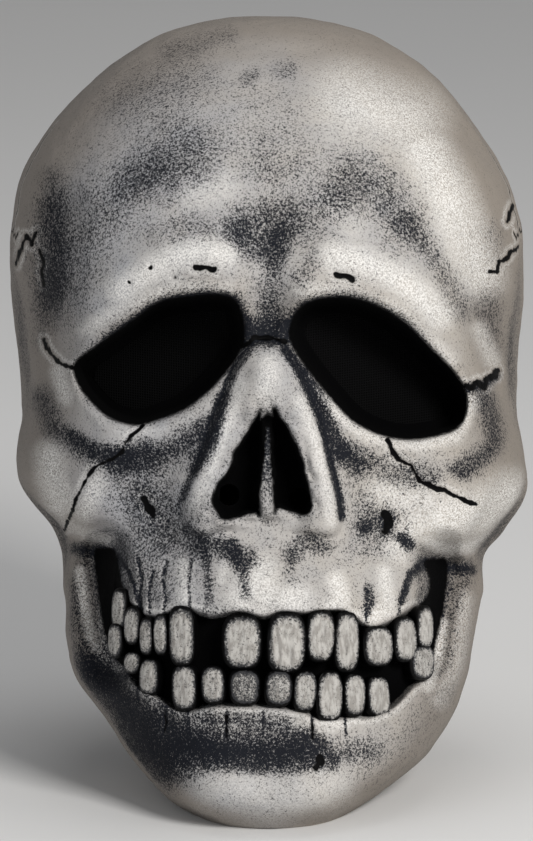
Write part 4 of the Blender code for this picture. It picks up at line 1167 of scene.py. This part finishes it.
def put(tree, kind, **settings):
    """A node of the tree, with its settings."""
    node = tree.nodes.new(kind)
    for key, value in settings.items():
        setattr(node, key, value)
    return node


def feed(tree, socket, value):
    """Links or sets a socket."""
    if isinstance(value, bpy.types.NodeSocket):
        tree.links.new(value, socket)
    else:
        socket.default_value = value


def maths(tree, operation, a, b=0.0, c=0.0, clamp=False):
    """A sum of up to three values."""
    node = put(tree, "ShaderNodeMath", operation=operation, use_clamp=clamp)
    for socket, value in zip(node.inputs, (a, b, c)):
        feed(tree, socket, value)
    return node.outputs[0]


def ramp(tree, value, low, high):
    """A smooth step of the value from low to high, nought to one."""
    node = put(tree, "ShaderNodeMapRange", interpolation_type="SMOOTHSTEP")
    for name, what in (("Value", value), ("From Min", low), ("From Max", high)):
        feed(tree, node.inputs[name], what)
    return node.outputs[0]


def blend_colour(tree, share, a, b):
    """The colour at a share of the way from a to b."""
    node = put(tree, "ShaderNodeMix", data_type="RGBA")
    feed(tree, node.inputs["Factor"], share)
    colours = [s for s in node.inputs if s.type == "RGBA"]
    feed(tree, colours[0], a)
    feed(tree, colours[1], b)
    return [s for s in node.outputs if s.type == "RGBA"][0]


def noise(tree, place, scale, detail=2.0, roughness=0.5):
    node = put(tree, "ShaderNodeTexNoise")
    feed(tree, node.inputs["Vector"], place)
    node.inputs["Scale"].default_value = scale
    node.inputs["Detail"].default_value = detail
    node.inputs["Roughness"].default_value = roughness
    return node.outputs[0]


def amount(tree, name):
    return put(tree, "ShaderNodeAttribute", attribute_name=name).outputs["Fac"]


def finish(name, roughness, gloss=0.06):
    """A new material, its tree and shader, and the place on the object."""
    material = bpy.data.materials.new(name)
    material.use_nodes = True
    tree = material.node_tree
    shader = tree.nodes["Principled BSDF"]
    shader.inputs["Roughness"].default_value = roughness
    shader.inputs["Specular IOR Level"].default_value = gloss
    place = put(tree, "ShaderNodeTexCoord").outputs["Object"]
    return material, tree, shader, place


def bump(tree, shader, height, distance, strength=1.0):
    node = put(tree, "ShaderNodeBump")
    node.inputs["Strength"].default_value = strength
    node.inputs["Distance"].default_value = distance
    feed(tree, node.inputs["Height"], height)
    feed(tree, shader.inputs["Normal"], node.outputs[0])


def stippled(tree, place, wash):
    """Where sponged paint covers: three sizes of noise against a threshold set by the wash."""
    grain = 0.0
    for scale, detail, roughness, weight in GRAINS:
        centred = maths(tree, "SUBTRACT", noise(tree, place, scale, detail, roughness), 0.5)
        grain = maths(tree, "MULTIPLY_ADD", centred, weight, grain)
    threshold = maths(tree, "MULTIPLY_ADD", wash, GRAIN_FALL, GRAIN_START)
    low, high = (maths(tree, "ADD", threshold, by) for by in (-GRAIN_EDGE, GRAIN_EDGE))
    return ramp(tree, grain, low, high)


def painted_bone():
    """Latex painted as old bone: cool and warm bone, which also paints shade on the left and light
    on the right, sponged wash that in places is painted shade, dry-brush paint with painted
    highlights, taupe with painted shade, black hollows and cracks.
    """
    material, tree, shader, place = finish("painted bone latex", 0.62)
    wash, light, tone_and_shade = (amount(tree, n) for n in ("wash", "light", "tone_and_shade"))
    mottle = noise(tree, place, 60.0, 4.0, 0.6)
    # Cool towards the left and warm towards the right: painted shade and light, mixed with mottling
    warmth_and_shade = maths(tree, "ADD", tone_and_shade, maths(tree, "SUBTRACT", mottle, 0.5), clamp=True)
    bone = blend_colour(tree, warmth_and_shade, BONE_COOL_SHADE, BONE_WARM)
    # Taupe where the surface turns from the front and above the sockets: painted shade, and the
    # colour of the sides and back
    bone = blend_colour(tree, maths(tree, "MULTIPLY", amount(tree, "taupe_and_shade"), 0.85), bone, TAUPE_AND_SHADE)
    # Light on the high places: dry-brush paint and painted highlights
    bristles = ramp(tree, noise(tree, place, 1700.0, 2.0), 0.34, 0.62)
    brushed_and_highlit = maths(tree, "MULTIPLY", light, bristles)
    bone = blend_colour(tree, brushed_and_highlit, bone, BONE_LIGHT)
    film = maths(tree, "MULTIPLY", wash, 0.36, clamp=True)
    bone = blend_colour(tree, film, bone, WASH_GREY)
    covered = stippled(tree, place, wash)
    bone = blend_colour(tree, maths(tree, "MULTIPLY", covered, 0.985), bone, WASH_DARK)
    wobble = maths(tree, "MULTIPLY_ADD", noise(tree, place, 420.0, 2.0), 0.0012, -0.0006)
    edge = maths(tree, "ADD", amount(tree, "opening"), wobble)
    bone = blend_colour(tree, ramp(tree, edge, 0.0006, -0.0006), bone, HOLLOW_BLACK)
    line = maths(tree, "ADD", amount(tree, "crack"), wobble)
    bone = blend_colour(tree, ramp(tree, line, 0.00035, -0.00015), bone, HOLLOW_BLACK)
    feed(tree, shader.inputs["Base Color"], bone)
    rough = maths(tree, "MULTIPLY_ADD", ramp(tree, edge, 0.0008, -0.0004), 0.38, 0.62)
    feed(tree, shader.inputs["Roughness"], rough)
    grainy = noise(tree, place, 1100.0, 3.0, 0.6)
    pitted = maths(tree, "MULTIPLY_ADD", noise(tree, place, 260.0, 3.0), 0.45, grainy)
    bump(tree, shader, pitted, 0.00030, 0.8)
    return material


def tooth_paint():
    """Teeth: cream enamel paint with grey flutes, dark sponging at the edges, wider on each tooth's
    left side as painted shade, and black roots.
    """
    material, tree, shader, place = finish("painted teeth latex", 0.5, 0.12)
    streaks = put(tree, "ShaderNodeMapping")
    feed(tree, streaks.inputs["Vector"], place)
    streaks.inputs["Scale"].default_value = (1.0, 1.0, 0.3)
    flutes = noise(tree, streaks.outputs[0], 700.0, 3.0, 0.6)
    cream = blend_colour(tree, ramp(tree, flutes, 0.37, 0.62), TOOTH_GREY, TOOTH_CREAM)
    uneven = maths(tree, "MULTIPLY_ADD", noise(tree, place, 900.0, 2.0), 0.24, -0.12)
    # Dark edges, wider on each tooth's left side: sponged paint and painted shade
    edge_and_left_shade = maths(tree, "ADD", amount(tree, "edge"), uneven)
    wash = maths(tree, "MULTIPLY_ADD", amount(tree, "grey"), 0.55, 0.06)
    wash = maths(tree, "MULTIPLY_ADD", ramp(tree, edge_and_left_shade, 0.66, 1.0), 0.72, wash)
    covered = stippled(tree, place, wash)
    cream = blend_colour(tree, maths(tree, "MULTIPLY", wash, 0.3, clamp=True), cream, WASH_GREY)
    cream = blend_colour(tree, maths(tree, "MULTIPLY", covered, 0.9), cream, WASH_DARK)
    cream = blend_colour(tree, ramp(tree, edge_and_left_shade, 0.90, 0.97), cream, HOLLOW_BLACK)
    low = ramp(tree, amount(tree, "stand"), 0.0009, 0.0)
    feed(tree, shader.inputs["Base Color"], blend_colour(tree, low, cream, HOLLOW_BLACK))
    bump(tree, shader, flutes, 0.0002, 0.6)
    return material


def inside_latex():
    """Bare latex inside: tan, with the faint mottling of the mould."""
    material, tree, shader, place = finish("bare latex lining", 0.7)
    mottle = ramp(tree, noise(tree, place, 90.0, 4.0, 0.6), 0.3, 0.7)
    latex = blend_colour(tree, mottle, LATEX_DARK, LATEX_TAN)
    # Black within a few millimetres of the sight holes and nostrils
    black_round_holes = ramp(tree, amount(tree, "from_hole"), 0.0045, 0.0030)
    feed(tree, shader.inputs["Base Color"], blend_colour(tree, black_round_holes, latex, HOLLOW_BLACK))
    bump(tree, shader, noise(tree, place, 500.0, 3.0), 0.0004, 0.6)
    return material


def gauze_weave():
    """Black gauze: two sets of threads crossing, sine waves across and up, with a little fuzz."""
    material, tree, shader, place = finish("black gauze weave", 0.9, 0.05)
    split = put(tree, "ShaderNodeSeparateXYZ")
    feed(tree, split.inputs[0], place)
    warp, weft = (
        maths(tree, "SINE", maths(tree, "MULTIPLY", split.outputs[k], 2 * math.pi / THREAD_SPACING))
        for k in (0, 2)
    )
    threads = maths(tree, "MAXIMUM", warp, weft)
    fuzz = maths(tree, "MULTIPLY_ADD", noise(tree, place, 1200.0, 2.0), 0.6, threads)
    thread = ramp(tree, fuzz, -0.2, 1.1)
    feed(tree, shader.inputs["Base Color"], blend_colour(tree, thread, GAUZE_HOLE, GAUZE_THREAD))
    bump(tree, shader, threads, 0.0002, 0.7)
    return material


def plain(name, colour, roughness):
    """A plain material that is hardly mottled."""
    material, tree, shader, place = finish(name, roughness)
    soft = noise(tree, place, 3.0, 2.0)
    shade = tuple(0.97 * c for c in colour[:3]) + (1.0,)
    feed(tree, shader.inputs["Base Color"], blend_colour(tree, soft, shade, colour))
    return material


def dress(piece, material):
    """Gives a piece its material, attaches it to the root body and hides the imported mask shell."""
    piece.data.materials.clear()
    piece.data.materials.append(material)
    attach(piece, "root")
    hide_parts("mask_shell")


def build_mask():
    """Every piece of the mask but the gauze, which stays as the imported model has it."""
    points, amounts, turns = skin()
    holes = cut_holes(points)
    bone, enamel, latex = painted_bone(), tooth_paint(), inside_latex()
    for column in (0, FACE_COLUMNS):
        points[1::2, column] = 0.5 * (points[:-1:2, column] + points[2::2, column])
    face = slice(0, FACE_COLUMNS + 1)
    ends = (0, CRANIUM_STEPS, CRANIUM_STEPS + ORBIT_STEPS, len(points) - 1)
    for name, start, end in zip(("cranium_front", "orbit_band", "jaw_front"), ends, ends[1:]):
        rows = slice(start, end + 1)
        part = {key: values[rows, face] for key, values in amounts.items()}
        band = surface(name, points[rows, face], part, holes[rows, face], pole=start == 0)
        dress(band, bone)
    back = np.r_[FACE_COLUMNS:len(turns), 0]
    part = {key: values[::2][:, back] for key, values in amounts.items()}
    dress(surface("back_of_head", points[::2][:, back], part, pole=True), bone)
    inner = lining(turns)
    from_hole = np.full(inner.shape[:2], HOLE_FAR)
    for outline in sights() + nostrils():
        away = distance_outside(inner[..., 0], inner[..., 2], outline, HOLE_FAR)
        from_hole = np.minimum(from_hole, np.where(inner[..., 1] < IN_FRONT, away, HOLE_FAR))
    inner_holes = cut_holes(inner)
    lined = surface("lining", around(inner), {"from_hole": around(from_hole)}, around(inner_holes),
                    inside_out=True, pole=True)
    dress(lined, latex)
    rim = around(np.stack([points[-1], inner[-1]]))
    dress(surface("neck_rim", rim, {"from_hole": np.full(rim.shape[:2], HOLE_FAR)}), latex)
    slant = 1 / math.cos(SOCKET_YAW)
    for side, outline in zip(("left", "right"), sights()):
        ring = np.append(outline[:, 0], outline[0, 0])
        front = socket_plane(ring, SOCKET_DEPTH)
        edge = hole_tube(f"sight_edge_{side}", outline, front, front + WALL * slant)
        dress(edge, BLACK_EDGE)
    for side, outline in zip(("left", "right"), nostrils()):
        flat = np.full(len(outline) + 1, -NOSE_FLOOR)
        dress(hole_tube(f"nostril_edge_{side}", outline, flat, flat + WALL), BLACK_EDGE)
    dress(teeth("upper_teeth", "upper"), enamel)
    dress(teeth("lower_teeth", "lower"), enamel)


def add_camera():
    """The camera level with the middle of the face, tipped back with it."""
    lens = bpy.data.cameras.new("camera")
    lens.sensor_fit = "VERTICAL"
    lens.sensor_height = SENSOR_HEIGHT
    lens.lens = SENSOR_HEIGHT * (CAMERA_DISTANCE - FACE_PLANE) / PICTURE_HEIGHT
    camera = in_scene("camera", lens)
    camera.location = on_the_ground((CAMERA_ACROSS, -CAMERA_DISTANCE, CAMERA_HEIGHT))
    camera.rotation_euler = (0.5 * math.pi - LEAN, 0.0, 0.0)
    bpy.context.scene.camera = camera


def add_light(name, place, size, energy, colour):
    """A square soft light, turned to look at LIT."""
    lamp = bpy.data.lights.new(name, "AREA")
    lamp.size = size
    lamp.energy = energy
    lamp.color = colour
    thing = in_scene(name, lamp)
    dx, dy, dz = (t - p for t, p in zip(LIT, place))
    thing.location = place
    thing.rotation_euler = (math.atan2(math.hypot(dx, dy), -dz), 0.0, math.atan2(-dx, dy))


def add_studio():
    """A pale floor, soft lights and a dim white surround."""
    mesh = bpy.data.meshes.new("floor")
    signs = ((-1, -1), (1, -1), (1, 1), (-1, 1))
    corners = [(across * FLOOR_REACH, back * FLOOR_REACH, -FLOOR_DROP) for across, back in signs]
    mesh.from_pydata(corners, [], [(0, 1, 2, 3)])
    floor = in_scene("floor", mesh)
    floor.data.materials.append(plain("pale floor", FLOOR_PALE, 0.8))
    for light in LIGHTS:
        add_light(*light)
    world = bpy.data.worlds.new("studio")
    world.use_nodes = True
    background = world.node_tree.nodes["Background"]
    background.inputs["Color"].default_value = WHITE
    background.inputs["Strength"].default_value = WORLD_STRENGTH
    bpy.context.scene.world = world
    bpy.context.scene.view_settings.view_transform = "Standard"


SHIFT = shift_to_frame()
BLACK_EDGE = plain("black hollow paint", HOLLOW_BLACK, 0.9)
add_camera()
build_mask()
for gauze in ("eye_gauze_left", "eye_gauze_right"):
    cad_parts[gauze].data.materials.clear()
    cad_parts[gauze].data.materials.append(gauze_weave())
add_studio()
